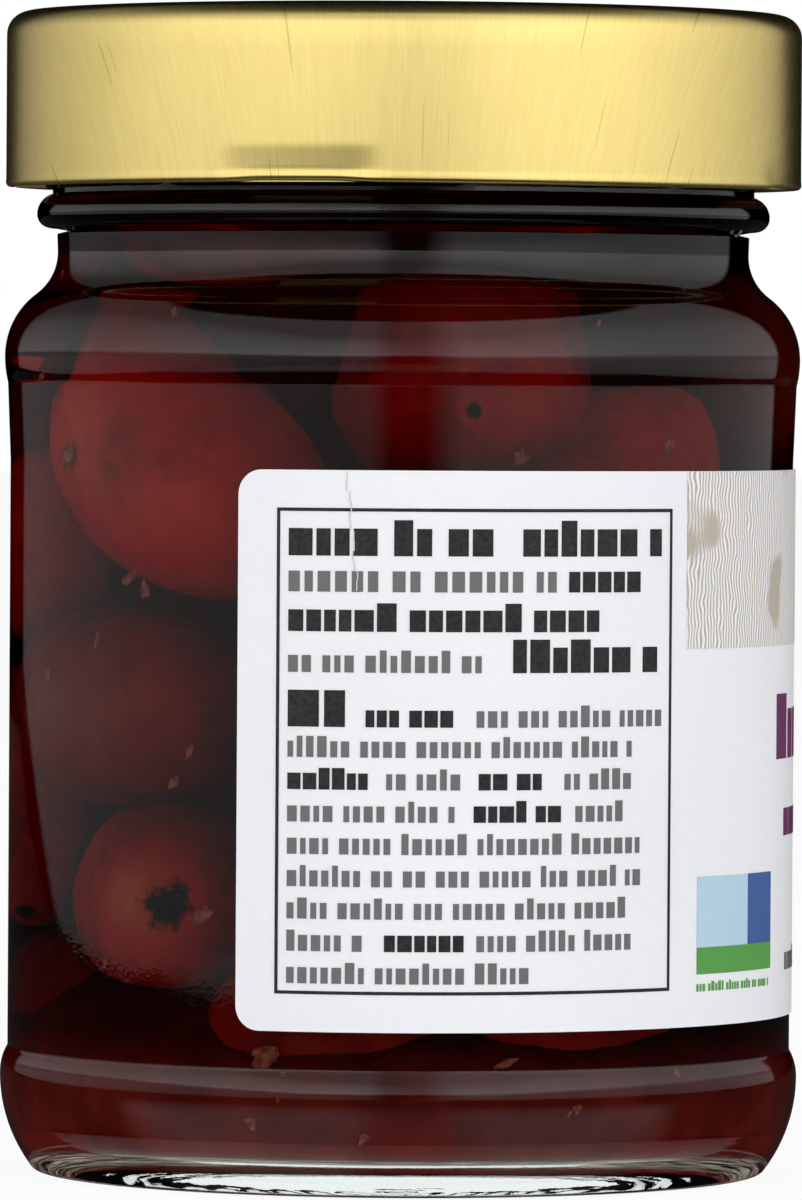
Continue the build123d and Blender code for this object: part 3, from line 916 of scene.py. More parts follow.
def gold_tinplate(settings):
    """Tinplate under gold lacquer, brushed as a flat sheet before it was drawn: the lines run one way
    across the flattened sheet, so they stand upright at the front and slant towards the sides."""
    material, tree = new_material("Gold lacquered brushed tinplate")
    coords = add(tree, "TexCoord")
    z = add(tree, "SeparateXYZ", _0=coords.outputs["Object"]).outputs[2]
    flat, radius, turn = around_axis(tree, coords.outputs["Object"])
    depth = add(tree, "Math", {"operation": "SUBTRACT"}, _0=LID_TOP_Z * MM, _1=z).outputs[0]
    sheet_radius = add(tree, "Math", {"operation": "MULTIPLY_ADD"}, _0=depth, _1=0.5, _2=radius).outputs[0]
    stretch = add(tree, "Math", {"operation": "DIVIDE"}, _0=sheet_radius, _1=radius).outputs[0]
    sheet = add(tree, "VectorMath", {"operation": "SCALE"}, _0=flat, Scale=stretch).outputs[0]
    # The real lines are finer. They are drawn 0.17 mm apart, so that they show.
    across, along = 1 / (0.17 * MM), 1 / (2.6 * MM)
    lines = add(tree, "Mapping", {"Scale": (across, along, 1.0)}, Vector=sheet)
    brush = add(tree, "TexNoise", {"Scale": 1.0, "Detail": 2.0, "Roughness": 0.6}, Vector=lines.outputs[0])
    broad = add(tree, "Mapping", {"Scale": (across / 6, along / 2, 1.0)}, Vector=sheet)
    bands = add(tree, "TexNoise", {"Scale": 1.0, "Detail": 2.0}, Vector=broad.outputs[0])
    bands_tone = add(
        tree, "ValToRGB", {"stops": [(0.3, grey(0.86)), (0.7, grey(1.0))]}, Fac=bands.outputs["Fac"],
    ).outputs[0]
    tint = add(
        tree, "ValToRGB", {"stops": [(0.3, linear(settings.gold_dark)), (0.7, linear(settings.gold))]},
        Fac=brush.outputs["Fac"],
    ).outputs[0]
    soft = add(
        tree, "Mix", {"data_type": "RGBA", "blend_type": "MULTIPLY", "Factor": 0.3}, _6=tint, _7=bands_tone,
    )
    rough = add(tree, "MapRange", {"To Min": 0.30, "To Max": 0.38}, _0=brush.outputs["Fac"])
    bump = add(tree, "Bump", {"Strength": 0.08, "Distance": 0.02 * MM}, Height=brush.outputs["Fac"])
    round_lid = add(tree, "Tangent", {"direction_type": "RADIAL", "axis": "Z"})
    across_lines = add(tree, "Math", {"operation": "DIVIDE"}, _0=turn, _1=-math.tau)
    scratch_place = add(tree, "Mapping", {"Scale": (1 / (0.4 * MM), 1 / (9 * MM), 1.0)}, Vector=sheet)
    scratches = add(tree, "TexNoise", {"Scale": 1.0, "Detail": 0.0}, Vector=scratch_place.outputs[0])
    scratched = add(
        tree, "ValToRGB", {"stops": [(0.18, grey(0.72)), (0.21, grey(1.0))]}, Fac=scratches.outputs["Fac"],
    ).outputs[0]
    worn = add(tree, "Mix", DARKEN, _6=soft.outputs[2], _7=scratched)
    surface = add(
        tree, "BsdfPrincipled", {"Metallic": 1.0, "Anisotropic": 0.8}, Base_Color=worn.outputs[2],
        Roughness=rough.outputs[0], Normal=bump.outputs[0], Tangent=round_lid.outputs[0],
        Anisotropic_Rotation=across_lines.outputs[0],
    )
    add(tree, "OutputMaterial", Surface=surface.outputs[0])
    return material


class JAR_OT_lid(bpy.types.Operator):
    """Press the twist-off lid with its rolled edge, lugs and dents"""

    bl_idname = "olive_jar.lid"
    bl_label = "Lid"

    def execute(self, context):
        settings = context.scene.olive_jar
        piece = spun("twist_off_lid", lid_outline(), steps=360, crease=50.0)
        press_lugs(piece)
        bm = bmesh.new()
        lug_blocks(bm)
        lugs = finished("lid_lugs", bm)
        gold = gold_tinplate(settings)
        for part in (piece, lugs):
            dress(part, gold)
            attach(part, "root")
        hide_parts("lid")
        return {"FINISHED"}


# ---------------------------------------------------------------- label

# Cuts this many millimetres apart let a flat panel bend round the glass.
CUT_SPACING = 1.5
# Sets the lengths of the printed blocks.
PRINT_SEED = 7


def flat_panel(bm, left, right, foot, head, corner=0.0):
    """Adds a flat panel in millimetres, left and right counted along the wrap, with rounded corners."""
    verts = [bm.verts.new(p) for p in ((left, foot, 0), (right, foot, 0), (right, head, 0), (left, head, 0))]
    bm.faces.new(verts)
    if corner:
        bmesh.ops.bevel(
            bm, geom=verts, offset=corner, offset_type="OFFSET", segments=8, profile=0.5, affect="VERTICES",
            material=-1,
        )


def wrapped(name, bm, lift, thickness):
    """Bends flat panels round the jar's label panel, and gives them a thickness."""
    along = [vert.co.x for vert in bm.verts]
    left, width = min(along), max(along) - min(along)
    uv = bm.loops.layers.uv.new("sheet")
    cuts = math.ceil(width / CUT_SPACING)
    for i in range(1, cuts):
        at = left + width * i / cuts
        bmesh.ops.bisect_plane(
            bm, geom=bm.verts[:] + bm.edges[:] + bm.faces[:], plane_co=(at, 0, 0), plane_no=(1, 0, 0),
            dist=1e-5,
        )
    for face in bm.faces:
        for loop in face.loops:
            loop[uv].uv = loop.vert.co.xy * 0.01
    radius = PANEL_RADIUS + lift
    for vert in bm.verts:
        turn = vert.co.x / LABEL_RADIUS
        vert.co = Vector((math.sin(turn) * radius, -math.cos(turn) * radius, vert.co.y)) * MM
    bm.normal_update()
    for face in bm.faces:
        middle = face.calc_center_median()
        if face.normal.dot(Vector((middle.x, middle.y, 0))) < 0:
            face.normal_flip()
    bmesh.ops.solidify(bm, geom=bm.faces[:], thickness=thickness * MM)
    return finished(name, bm, crease=40.0)


def along_label(azimuth):
    """Distance along the wrap, in millimetres, of an azimuth in degrees."""
    return math.radians(azimuth) * LABEL_RADIUS


def label_paper(settings):
    """Coated label paper: cool white and satin, with the faint mottle of its fibres."""
    material, tree = new_material("Coated label paper")
    coords = add(tree, "TexCoord")
    fibre = add(tree, "TexNoise", {"Scale": 1 / (0.5 * MM), "Detail": 4.0}, Vector=coords.outputs["Object"])
    cloud = add(tree, "TexNoise", {"Scale": 1 / (18 * MM), "Detail": 1.0}, Vector=coords.outputs["Object"])
    shade = add(
        tree, "Mix", {"data_type": "FLOAT", "Factor": 0.5}, _2=fibre.outputs["Fac"],
        _3=cloud.outputs["Fac"],
    )
    colour = add(
        tree, "ValToRGB", {"stops": [(0.3, linear(settings.paper_shade)), (0.7, linear(settings.paper))]},
        Fac=shade.outputs[0],
    ).outputs[0]
    bump = add(tree, "Bump", {"Strength": 0.05, "Distance": 0.02 * MM}, Height=fibre.outputs["Fac"])
    surface = add(
        tree, "BsdfPrincipled", {"Roughness": 0.42, "Specular IOR Level": 0.3}, Base_Color=colour,
        Normal=bump.outputs[0],
    )
    add(tree, "OutputMaterial", Surface=surface.outputs[0])
    return material


def printing_ink(name, code):
    """Offset ink on coated paper: flat and satin, a little thin where the paper's fibres stand up."""
    material, tree = new_material(name)
    coords = add(tree, "TexCoord")
    fibre = add(tree, "TexNoise", {"Scale": 1 / (0.35 * MM), "Detail": 3.0}, Vector=coords.outputs["Object"])
    ink, thin = linear(code), linear("#8A8A8C")
    worn = tuple(a * 0.9 + b * 0.1 for a, b in zip(ink, thin))
    colour = add(
        tree, "ValToRGB", {"stops": [(0.35, ink), (0.75, worn)]}, Fac=fibre.outputs["Fac"],
    ).outputs[0]
    surface = add(tree, "BsdfPrincipled", {"Roughness": 0.45, "Specular IOR Level": 0.3}, Base_Color=colour)
    add(tree, "OutputMaterial", Surface=surface.outputs[0])
    return material


def hatched_print(settings):
    """A field of wavy taupe hatching on white, like an old engraving seen from afar."""
    material, tree = new_material("Hatched taupe print")
    sheet = add(tree, "UVMap", {"uv_map": "sheet"})
    swirl = add(tree, "TexNoise", {"Scale": 14.0, "Detail": 1.0}, Vector=sheet.outputs[0])
    wave = add(
        tree, "TexWave", {"Scale": 75.0, "Distortion": 9.0, "Detail": 1.5, "Detail Scale": 0.6},
        Vector=sheet.outputs[0],
    )
    lines = add(
        tree, "ValToRGB", {"stops": [(0.35, linear(settings.hatch)), (0.6, linear(settings.paper))]},
        Fac=wave.outputs["Fac"],
    ).outputs[0]
    solid = add(tree, "MapRange", {"From Min": 0.60, "From Max": 0.66}, _0=swirl.outputs["Fac"])
    colour = add(tree, "Mix", COLOURS, _0=solid.outputs[0], _6=lines, _7=linear(settings.hatch))
    surface = add(
        tree, "BsdfPrincipled", {"Roughness": 0.45, "Specular IOR Level": 0.3},
        Base_Color=colour.outputs[2],
    )
    add(tree, "OutputMaterial", Surface=surface.outputs[0])
    return material


class JAR_OT_label(bpy.types.Operator):
    """Wrap the paper label round the jar"""

    bl_idname = "olive_jar.label"
    bl_label = "Label"

    def execute(self, context):
        settings = context.scene.olive_jar
        bm = bmesh.new()
        left = along_label(LABEL_AZIMUTH)
        right = along_label(LABEL_AZIMUTH + LABEL_WRAP)
        flat_panel(bm, left, right, LABEL_FOOT_Z, LABEL_HEAD_Z, settings.label_corner / MM)
        piece = dress(wrapped("paper_label", bm, PAPER_LIFT, PAPER_THICKNESS), label_paper(settings))
        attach(piece, "root")
        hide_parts("label")
        return {"FINISHED"}


def block_row(bm, rng, left, right, foot, height, bold=False):
    """Adds a row of word-like runs of small blocks, with no lettering."""
    wide = height * (0.56 if bold else 0.38)
    gap = height * (0.11 if bold else 0.18)
    word_gap, low, tall_share = height * 0.35, height * 0.76, 0.16
    at = left
    while at < right - wide:
        for _ in range(rng.randint(2, 8)):
            block = wide * rng.uniform(0.7, 1.25)
            if at + block > right:
                break
            tall = height if rng.random() < tall_share else low
            flat_panel(bm, at, at + block, foot, foot + tall)
            at += block + gap
        at += word_gap


def printed(name, bm, ink, lift=INK_LIFT):
    """Wraps the blocks of one ink round the paper."""
    piece = dress(wrapped(name, bm, lift, INK_THICKNESS), ink)
    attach(piece, "root")


def boxed_print(rng, settings):
    """A ruled box of rows: bold words in one ink, and thin words between them in another."""
    box = bmesh.new()
    left, right, foot, head, rule = -10.2, 24.15, 16.6, 55.85, 0.27
    flat_panel(box, left, right, head - rule, head)
    flat_panel(box, left, right, foot, foot + rule)
    flat_panel(box, left, left + rule, foot + rule, head - rule)
    flat_panel(box, right - rule, right, foot + rule, head - rule)
    text_left, text_right = left + 1.0, right - 0.9
    headings = [
        (text_left, text_left + 17.6, 52.0, 2.9), (text_left + 19.2, text_right + 0.4, 52.0, 2.9),
        (text_left + 23.2, text_right - 1.0, 49.1, 2.2), (text_left, text_right - 5.2, 45.9, 2.3),
        (text_left + 18.4, text_right - 0.4, 42.6, 2.7), (text_left, text_left + 4.9, 38.2, 3.9),
        (text_left + 6.4, text_left + 14.4, 38.2, 1.8),
    ]
    for start, end, z, height in headings:
        block_row(box, rng, start, end, z, height, bold=True)
    line_spacing = 2.61
    lines = [35.75 - line_spacing * i for i in range(8)]
    # Bold words in the lines: line, start and end.
    bold_words = ((1, 0.0, 7.2), (1, 15.6, 22.0), (2, 15.2, 23.0), (6, 8.0, 14.6))
    for line, start, end in bold_words:
        block_row(box, rng, text_left + start, text_left + end, lines[line], 1.75, bold=True)

    thin = bmesh.new()
    block_row(thin, rng, text_left, text_left + 22.4, 49.1, 2.2)
    block_row(thin, rng, text_left, text_left + 17.4, 42.6, 1.8)
    block_row(thin, rng, text_left + 15.4, text_right, 38.2, 1.75)
    # How far each line stops short of the right.
    shorts = (2.6, 2.6, 2.8, 0.8, 1.6, 3.0, 2.4, 12.2)
    word_gap = 0.9
    for line, (z, short) in enumerate(zip(lines, shorts)):
        words = [(start, end) for row, start, end in bold_words if row == line]
        starts = [end + word_gap for _, end in words]
        stops = [start - word_gap for start, _ in words if start > 1]
        stops.append(text_right - text_left - short)
        if len(starts) < len(stops):
            starts.insert(0, 0.0)
        for start, stop in zip(starts, stops):
            block_row(thin, rng, text_left + start, text_left + stop, z, 1.7)
    printed("boxed_rows", box, printing_ink("Black ink", settings.ink))
    printed("thin_rows", thin, printing_ink("Thin black ink", settings.thin_ink))


class JAR_OT_print(bpy.types.Operator):
    """Print the label with a ruled box of bars, fields of colour and hatching, and no lettering"""

    bl_idname = "olive_jar.print"
    bl_label = "Label print"

    def execute(self, context):
        settings = context.scene.olive_jar
        rng = random.Random(PRINT_SEED)
        boxed_print(rng, settings)

        title = bmesh.new()
        title_left, title_right = along_label(71.0), along_label(121.0)
        block_row(title, rng, title_left, title_right, 35.0, 5.4, bold=True)
        block_row(title, rng, title_left + 2.4, title_right - 2.4, 28.6, 3.0, bold=True)
        printed("title_blocks", title, printing_ink("Plum ink", settings.plum))

        hatch = bmesh.new()
        flat_panel(hatch, along_label(45.0), along_label(147.0), 44.4, LABEL_HEAD_Z - 0.02)
        printed("hatched_field", hatch, hatched_print(settings))

        left, split, right = along_label(47.6), along_label(60.4), along_label(68.7)
        fields = (
            ("pale_patch", left, split, 20.0, 25.8, "Pale blue ink", "#B9D6E8"),
            ("blue_patch", split, right, 20.0, 25.8, "Blue ink", "#3A5F9C"),
            ("green_band", left, right, 17.8, 20.0, "Green ink", "#56A048"),
        )
        for name, start, end, foot, head, ink, colour in fields:
            field = bmesh.new()
            flat_panel(field, start, end, foot, head)
            if name == "green_band":
                block_row(field, rng, start, end, 16.4, 0.8)
            printed(name, field, printing_ink(ink, colour))

        small = bmesh.new()
        block_row(small, rng, along_label(76.5), along_label(116.0), 17.4, 1.9)
        for i in range(9):
            block_row(small, rng, along_label(158.0), along_label(211.0), 53.5 - 2.6 * i, 1.3)
        for i in range(14):
            bar = along_label(176.0) + 1.1 * i
            flat_panel(small, bar, bar + (0.35, 0.7, 0.5)[i % 3], 17.5, 27.0)
        printed("small_print", small, printing_ink("Grey ink", "#6A6668"))

        # A light grey line down a crease: painted shade of the fold where it crosses white paper, and bared
        # paper where it crosses the black print.
        crease = bmesh.new()
        crease_foot, crease_step, crease_width = 49.2, 0.8, 0.09
        for i in range(12):
            low = crease_foot + crease_step * i
            lean = along_label(-6.3 - 0.13 * i + 0.25 * math.sin(i * 1.7))
            flat_panel(crease, lean, lean + crease_width, low, low + crease_step)
        printed("paper_crease", crease, printing_ink("Crease line with painted shade and bared paper", "#D2D2D6"), CREASE_LIFT)
        return {"FINISHED"}


# ---------------------------------------------------------------- studio

# The camera: distance and height in metres, lens in millimetres, pitch and roll in degrees.
CAMERA_DISTANCE = 0.846
CAMERA_HEIGHT = 0.0665
CAMERA_LENS = 303.0
CAMERA_PITCH = 1.27
CAMERA_ROLL = 0.37

# Each lamp's name, place, size in metres and power in watts.
LAMPS = (
    ("front_left", (-0.65, -0.65, 0.35), 0.6, 4.15),
    ("front_right", (0.78, -0.5, 0.35), 0.6, 4.45),
    ("top", (0.0, -0.1, 0.9), 0.6, 2.7),
)
LAMP_TARGET = (0, 0, 0.05)

# How far the floor reaches, and how far it lies under the foot so that their faces don't meet.
FLOOR_REACH = 6.0
FLOOR_DROP = 0.05 * MM


def backdrop_rays(tree):
    """1 for the rays that see the backdrop: from the camera, off gloss and through glass."""
    path = add(tree, "LightPath")
    gloss = add(
        tree, "Math", {"operation": "MAXIMUM"}, _0=path.outputs["Is Camera Ray"],
        _1=path.outputs["Is Glossy Ray"],
    )
    return add(
        tree, "Math", {"operation": "MAXIMUM"}, _0=gloss.outputs[0], _1=path.outputs["Is Transmission Ray"],
    ).outputs[0]


def studio_world(settings):
    """White where the backdrop is seen, and a dim even fill of light on everything."""
    world = bpy.data.worlds.new("White studio")
    bpy.context.scene.world = world
    world.use_nodes = True
    tree = world.node_tree
    tree.nodes.clear()
    fill = add(tree, "Background", {"Color": grey(1.0), "Strength": settings.fill})
    white = add(tree, "Background", {"Color": grey(1.0), "Strength": 1.0})
    mix = add(tree, "MixShader", _0=backdrop_rays(tree), _1=fill.outputs[0], _2=white.outputs[0])
    add(tree, "OutputWorld", Surface=mix.outputs[0])


def white_floor():
    """Pale painted board: white to the camera and through the glass, and still shaded a little under the
    jar. In reflections it is dark but for two lit places in front: a patch close to the jar and the far
    part of the table, both dimmer straight ahead."""
    material, tree = new_material("White painted board")
    coords = add(tree, "TexCoord")
    grain = add(tree, "TexNoise", {"Scale": 1 / (3 * MM), "Detail": 2.0}, Vector=coords.outputs["Object"])
    colour = add(
        tree, "ValToRGB", {"stops": [(0.3, grey(0.86)), (0.7, grey(0.9))]}, Fac=grain.outputs["Fac"],
    ).outputs[0]
    board = add(tree, "BsdfDiffuse", Color=colour)
    path = add(tree, "LightPath")
    y = add(tree, "SeparateXYZ", _0=coords.outputs["Object"]).outputs["Y"]
    _, _, turn = around_axis(tree, coords.outputs["Object"])
    far = add(tree, "VectorMath", {"operation": "LENGTH"}, _0=coords.outputs["Object"]).outputs["Value"]
    near = add(tree, "MapRange", {"From Min": 0.055, "From Max": 0.085, "To Min": 1.0, "To Max": 0.0}, _0=far)
    front = add(tree, "MapRange", {"From Min": -0.024, "From Max": -0.031}, _0=y)
    patch = add(tree, "Math", {"operation": "MULTIPLY"}, _0=near.outputs[0], _1=front.outputs[0])
    beyond = add(tree, "MapRange", {"From Min": 0.28, "From Max": 0.32}, _0=far)
    table = add(tree, "MapRange", {"From Min": -0.1, "From Max": -0.2}, _0=y)
    table_lit = add(tree, "Math", {"operation": "MULTIPLY"}, _0=beyond.outputs[0], _1=table.outputs[0])
    both = add(
        tree, "Math", {"operation": "MULTIPLY_ADD"}, _0=table_lit.outputs[0], _1=1.1, _2=patch.outputs[0],
    )
    share = add(tree, "MapRange", {"From Min": math.radians(-20), "From Max": math.radians(20)}, _0=turn)
    slit = add(
        tree, "ValToRGB",
        {"stops": [(0.25, grey(0.4)), (0.42, grey(0.12)), (0.67, grey(0.12)), (0.92, grey(0.4))]},
        Fac=share.outputs[0],
    ).outputs[0]
    lit = add(tree, "Math", {"operation": "MULTIPLY_ADD"}, _0=both.outputs[0], _1=slit, _2=0.015)
    bounce = add(tree, "Emission", {"Strength": 1.0}, Color=lit.outputs[0])
    glow = add(tree, "Emission", {"Color": grey(1.0), "Strength": 1.0})
    through = path.outputs["Is Transmission Ray"]
    seen = add(tree, "Math", {"operation": "MAXIMUM"}, _0=path.outputs["Is Camera Ray"], _1=through)
    white = add(tree, "Math", {"operation": "MULTIPLY"}, _0=seen.outputs[0], _1=0.93)
    mix = add(tree, "MixShader", _0=white.outputs[0], _1=board.outputs[0], _2=glow.outputs[0])
    mirrored = add(
        tree, "Math", {"operation": "SUBTRACT", "use_clamp": True}, _0=path.outputs["Is Glossy Ray"],
        _1=through,
    )
    glossy = add(tree, "MixShader", _0=mirrored.outputs[0], _1=mix.outputs[0], _2=bounce.outputs[0])
    add(tree, "OutputMaterial", Surface=glossy.outputs[0])
    return material


# The studio's wall in plan, in metres from the jar: white cards bent round both sides of it, that
# meet at a dark opening in front, and dark cloth behind.
WALL = [
    (0.02, -0.60), (0.25, -0.50), (0.33, 0.0), (0.50, 0.80), (0.0, 1.30), (-0.55, 0.92), (-0.33, 0.0),
    (-0.25, -0.50),
]
WALL_HEIGHT = 1.3


def lit_cards():
    """White cards lit from above: dim and even below the shoulder's height, brighter over it, fading out
    at their ends, with a dark slit straight ahead and a dark ceiling."""
    material, tree = new_material("Lit white card")
    coords = add(tree, "TexCoord")
    z = add(tree, "SeparateXYZ", _0=coords.outputs["Object"]).outputs["Z"]
    _, _, turn = around_axis(tree, coords.outputs["Object"])
    share = add(tree, "MapRange", {"From Min": -math.pi, "From Max": math.pi}, _0=turn)

    def stops(*levels):
        """Ramp stops from azimuths in degrees and levels of grey."""
        return [((azimuth + 180) / 360, grey(level)) for azimuth, level in levels]

    low = stops(
        (-146, 0.0), (-144.5, 0.16), (-131, 0.25), (-95, 0.42), (-40, 0.40), (-10, 0.32), (5, 0.4),
        (20, 0.55), (60, 0.52), (120, 0.42), (135, 0.36), (137, 0.0),
    )
    high = stops(
        (-147, 0.0), (-145, 0.07), (-114, 0.18), (-88, 0.25), (-66, 0.36), (-30, 0.41), (0, 0.46), (20, 0.60),
        (50, 0.58), (79, 0.42), (107, 0.30), (135, 0.16), (138, 0.0),
    )
    low_along = add(tree, "ValToRGB", {"stops": low}, Fac=share.outputs[0]).outputs[0]
    high_along = add(tree, "ValToRGB", {"stops": high}, Fac=share.outputs[0]).outputs[0]
    height = add(tree, "MapRange", {"From Max": 1.0}, _0=z).outputs[0]
    upper = add(tree, "MapRange", {"From Min": 0.066, "From Max": 0.075}, _0=height)
    cards = add(tree, "Mix", COLOURS, _0=upper.outputs[0], _6=low_along, _7=high_along)
    gap = stops((-10, 1.0), (-3, 0.04), (7, 0.04), (17, 1.0))
    slit = add(tree, "ValToRGB", {"stops": gap}, Fac=share.outputs[0]).outputs[0]
    closed = add(tree, "MapRange", {"From Min": 0.088, "From Max": 0.1, "To Max": 0.5}, _0=height)
    opening = add(tree, "Mix", COLOURS, _0=closed.outputs[0], _6=slit, _7=grey(1.0))
    along = add(tree, "Mix", DARKEN, _6=cards.outputs[2], _7=opening.outputs[2])
    # Behind the jar on the left, something dark stands before the card's foot.
    cloth = add(
        tree, "MapRange",
        {"From Min": math.radians(-145), "From Max": math.radians(-110), "To Min": 0.017, "To Max": -0.003},
        _0=turn,
    )
    above = add(tree, "Math", {"operation": "SUBTRACT"}, _0=height, _1=cloth.outputs[0])
    foot = add(tree, "MapRange", {"From Min": -0.0015, "From Max": 0.0015}, _0=above.outputs[0])
    foot_levels = [(0.0, 0.34), (0.03, 0.44), (0.066, 0.46)]
    left_levels = [(0.076, 0.66), (0.084, 0.68), (0.098, 1.9), (0.15, 1.6), (0.24, 1.3), (0.37, 0.66)]
    right_levels = [(0.076, 0.68), (0.084, 0.70), (0.098, 1.35), (0.15, 1.25), (0.24, 1.1), (0.37, 0.74)]
    left, right = (
        add(tree, "ValToRGB", {"stops": [(at, grey(level)) for at, level in levels]}, Fac=height)
        for levels in (foot_levels + left_levels, foot_levels + right_levels)
    )
    side = add(tree, "MapRange", {"From Min": 0.49, "From Max": 0.51}, _0=share.outputs[0])
    upwards = add(tree, "Mix", COLOURS, _0=side.outputs[0], _6=left.outputs[0], _7=right.outputs[0])
    from_jar = add(
        tree, "VectorMath", {"operation": "SUBTRACT"}, _0=coords.outputs["Object"], _1=(0.0, 0.0, 0.075),
    )
    aim = add(tree, "VectorMath", {"operation": "NORMALIZE"}, _0=from_jar.outputs[0])
    steep = add(tree, "SeparateXYZ", _0=aim.outputs[0])
    ceiling = add(
        tree, "MapRange", {"From Min": 0.76, "From Max": 0.79, "To Min": 1.0, "To Max": 0.02},
        _0=steep.outputs[2],
    )
    both = add(tree, "Mix", DARKEN, _6=along.outputs[2], _7=upwards.outputs[2])
    lit = add(tree, "Math", {"operation": "MULTIPLY"}, _0=ceiling.outputs[0], _1=foot.outputs[0])
    shaded = add(tree, "VectorMath", {"operation": "SCALE"}, _0=both.outputs[2], Scale=lit.outputs[0])
    glow = add(tree, "Emission", {"Strength": 2.2}, Color=shaded.outputs[0])
    add(tree, "OutputMaterial", Surface=glow.outputs[0])
    return material


def studio_wall():
    """The wall, raised from its plan and left open below."""
    bm = bmesh.new()
    floor_face = bm.faces.new([bm.verts.new((x, y, 0)) for x, y in WALL])
    made = bmesh.ops.extrude_face_region(bm, geom=[floor_face])["geom"]
    raised = [item for item in made if isinstance(item, bmesh.types.BMVert)]
    bmesh.ops.translate(bm, vec=(0, 0, WALL_HEIGHT), verts=raised)
    lowest = [face for face in bm.faces if all(vert.co.z < 0.1 for vert in face.verts)]
    bmesh.ops.delete(bm, geom=lowest, context="FACES_ONLY")
    return finished("studio_wall", bm, crease=10.0)


def gloss_only(piece):
    """Leaves a piece to be seen by glossy rays alone."""
    piece.visible_camera = False
    piece.visible_diffuse = False
    piece.visible_transmission = False
    piece.visible_volume_scatter = False
    piece.visible_shadow = False


def lamp(name, place, size, power):
    """A square lamp that lights the jar and isn't seen, in glass and metal either."""
    light = bpy.data.lights.new(name, "AREA")
    light.size = size
    light.energy = power
    lamp_object = bpy.data.objects.new(name, light)
    bpy.context.scene.collection.objects.link(lamp_object)
    lamp_object.location = place
    lamp_object.rotation_euler = (Vector(LAMP_TARGET) - Vector(place)).to_track_quat("-Z", "Y").to_euler()
    lamp_object.visible_glossy = False
    lamp_object.visible_camera = False
    lamp_object.visible_transmission = False


class JAR_OT_stage(bpy.types.Operator):
    """Set the floor, the studio wall, the lamps and the camera"""

    bl_idname = "olive_jar.stage"
    bl_label = "Studio"

    def execute(self, context):
        settings = context.scene.olive_jar
        studio_world(settings)
        bm = bmesh.new()
        bmesh.ops.create_grid(bm, x_segments=8, y_segments=8, size=FLOOR_REACH)
        bmesh.ops.translate(bm, vec=(0, 0, -FLOOR_DROP), verts=bm.verts)
        floor = dress(finished("floor", bm), white_floor())
        wall = dress(studio_wall(), lit_cards())
        gloss_only(wall)
        for name, place, size, power in LAMPS:
            lamp(name, place, size, power)
        camera = bpy.data.cameras.new("camera")
        camera.lens = CAMERA_LENS
        camera.sensor_width = 36.0
        camera.clip_start = 0.01
        view = bpy.data.objects.new("camera", camera)
        context.scene.collection.objects.link(view)
        tilt = Matrix.Rotation(math.radians(90 - CAMERA_PITCH), 3, "X")
        roll = Matrix.Rotation(math.radians(CAMERA_ROLL), 3, "Z")
        view.rotation_euler = (tilt @ roll).to_euler()
        view.location = (0, -CAMERA_DISTANCE, CAMERA_HEIGHT)
        context.scene.camera = view
        context.scene.view_settings.view_transform = "Standard"
        return {"FINISHED"}


# ---------------------------------------------------------------- add-on

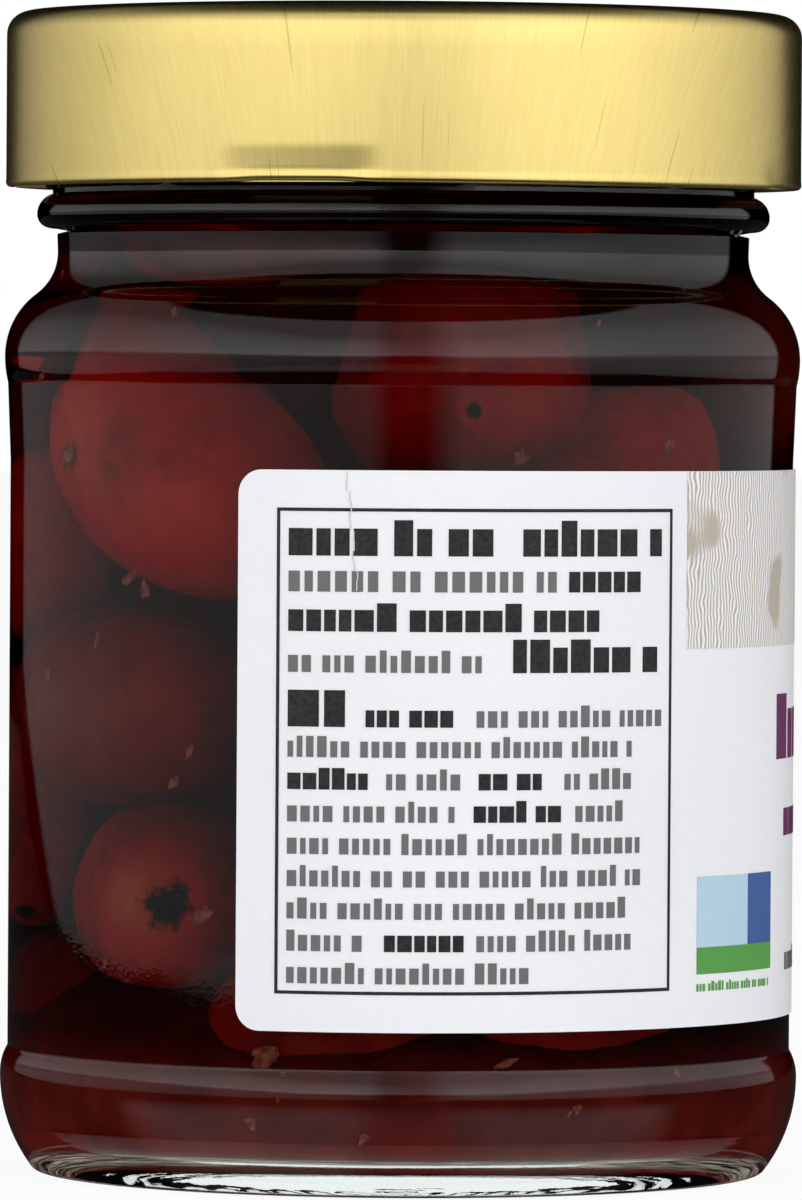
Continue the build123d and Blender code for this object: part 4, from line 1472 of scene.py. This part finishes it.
class JarSettings(bpy.types.PropertyGroup):
    """Sizes and colours that a user would change."""

    let_in: bpy.props.FloatProperty(
        name="Brine let in", description="How far the brine reaches into the glass", default=0.1 * MM,
        subtype="DISTANCE", unit="LENGTH", precision=5,
    )
    label_corner: bpy.props.FloatProperty(
        name="Label corner", description="Corner radius of the label", default=2.0 * MM, subtype="DISTANCE",
        unit="LENGTH", precision=5,
    )
    brine_strength: bpy.props.FloatProperty(
        name="Brine strength", description="How fast the brine darkens, per millimetre", default=0.5,
    )
    brine_tint: bpy.props.StringProperty(
        name="Brine tint", description="Colour of the stained brine", default="#F56E52",
    )
    packing_seed: bpy.props.IntProperty(
        name="Packing", description="Changes how the hidden olives lie", default=4,
    )
    skin: bpy.props.StringProperty(name="Skin", description="Colour of the olives' skin", default="#CE5A48")
    skin_dark: bpy.props.StringProperty(name="Dark skin", description="Darker mottling", default="#9C3A34")
    skin_light: bpy.props.StringProperty(name="Light skin", description="Paler mottling", default="#E2745C")
    flesh: bpy.props.StringProperty(
        name="Flesh", description="Bare flesh at the stem scar", default="#C86A48",
    )
    gold: bpy.props.StringProperty(name="Gold", description="Gold lacquer", default="#FEE898")
    gold_dark: bpy.props.StringProperty(
        name="Dark gold", description="Gold lacquer in the brush lines", default="#F6DC86",
    )
    paper: bpy.props.StringProperty(name="Paper", description="Label paper", default="#F1F2F6")
    paper_shade: bpy.props.StringProperty(
        name="Paper shade", description="Mottle of the label paper", default="#ECEDF1",
    )
    ink: bpy.props.StringProperty(name="Ink", description="Black print", default="#1E1A1C")
    thin_ink: bpy.props.StringProperty(
        name="Thin ink", description="Black print in thin strokes", default="#6C696B",
    )
    plum: bpy.props.StringProperty(name="Plum", description="Title print", default="#6B2A5A")
    hatch: bpy.props.StringProperty(name="Hatching", description="Taupe print", default="#B9B0A2")
    fill: bpy.props.FloatProperty(
        name="Fill light", description="Strength of the even studio light", default=0.25,
    )


class JAR_PT_panel(bpy.types.Panel):
    """Lists the pieces of the jar of olives"""

    bl_label = "Jar of olives"
    bl_idname = "JAR_PT_panel"
    bl_space_type = "VIEW_3D"
    bl_region_type = "UI"
    bl_category = "Olives"

    def draw(self, context):
        for operator in OPERATORS:
            self.layout.operator(operator.bl_idname)
        for name in JarSettings.__annotations__:
            self.layout.prop(context.scene.olive_jar, name)


OPERATORS = [
    JAR_OT_glass,
    JAR_OT_lid,
    JAR_OT_label,
    JAR_OT_print,
    JAR_OT_brine,
    JAR_OT_olives,
    JAR_OT_core,
    JAR_OT_flesh_bits,
    JAR_OT_stage,
]
CLASSES = [JarSettings, *OPERATORS, JAR_PT_panel]


def register():
    for item in CLASSES:
        bpy.utils.register_class(item)
    bpy.types.Scene.olive_jar = bpy.props.PointerProperty(type=JarSettings)


def unregister():
    del bpy.types.Scene.olive_jar
    for item in reversed(CLASSES):
        bpy.utils.unregister_class(item)


def main():
    register()
    bpy.ops.olive_jar.glass()
    bpy.ops.olive_jar.lid()
    bpy.ops.olive_jar.label()
    bpy.ops.olive_jar.print()
    bpy.ops.olive_jar.brine()
    bpy.ops.olive_jar.olives()
    bpy.ops.olive_jar.core()
    bpy.ops.olive_jar.flesh_bits()
    bpy.ops.olive_jar.stage()


if __name__ == "__main__":
    main()
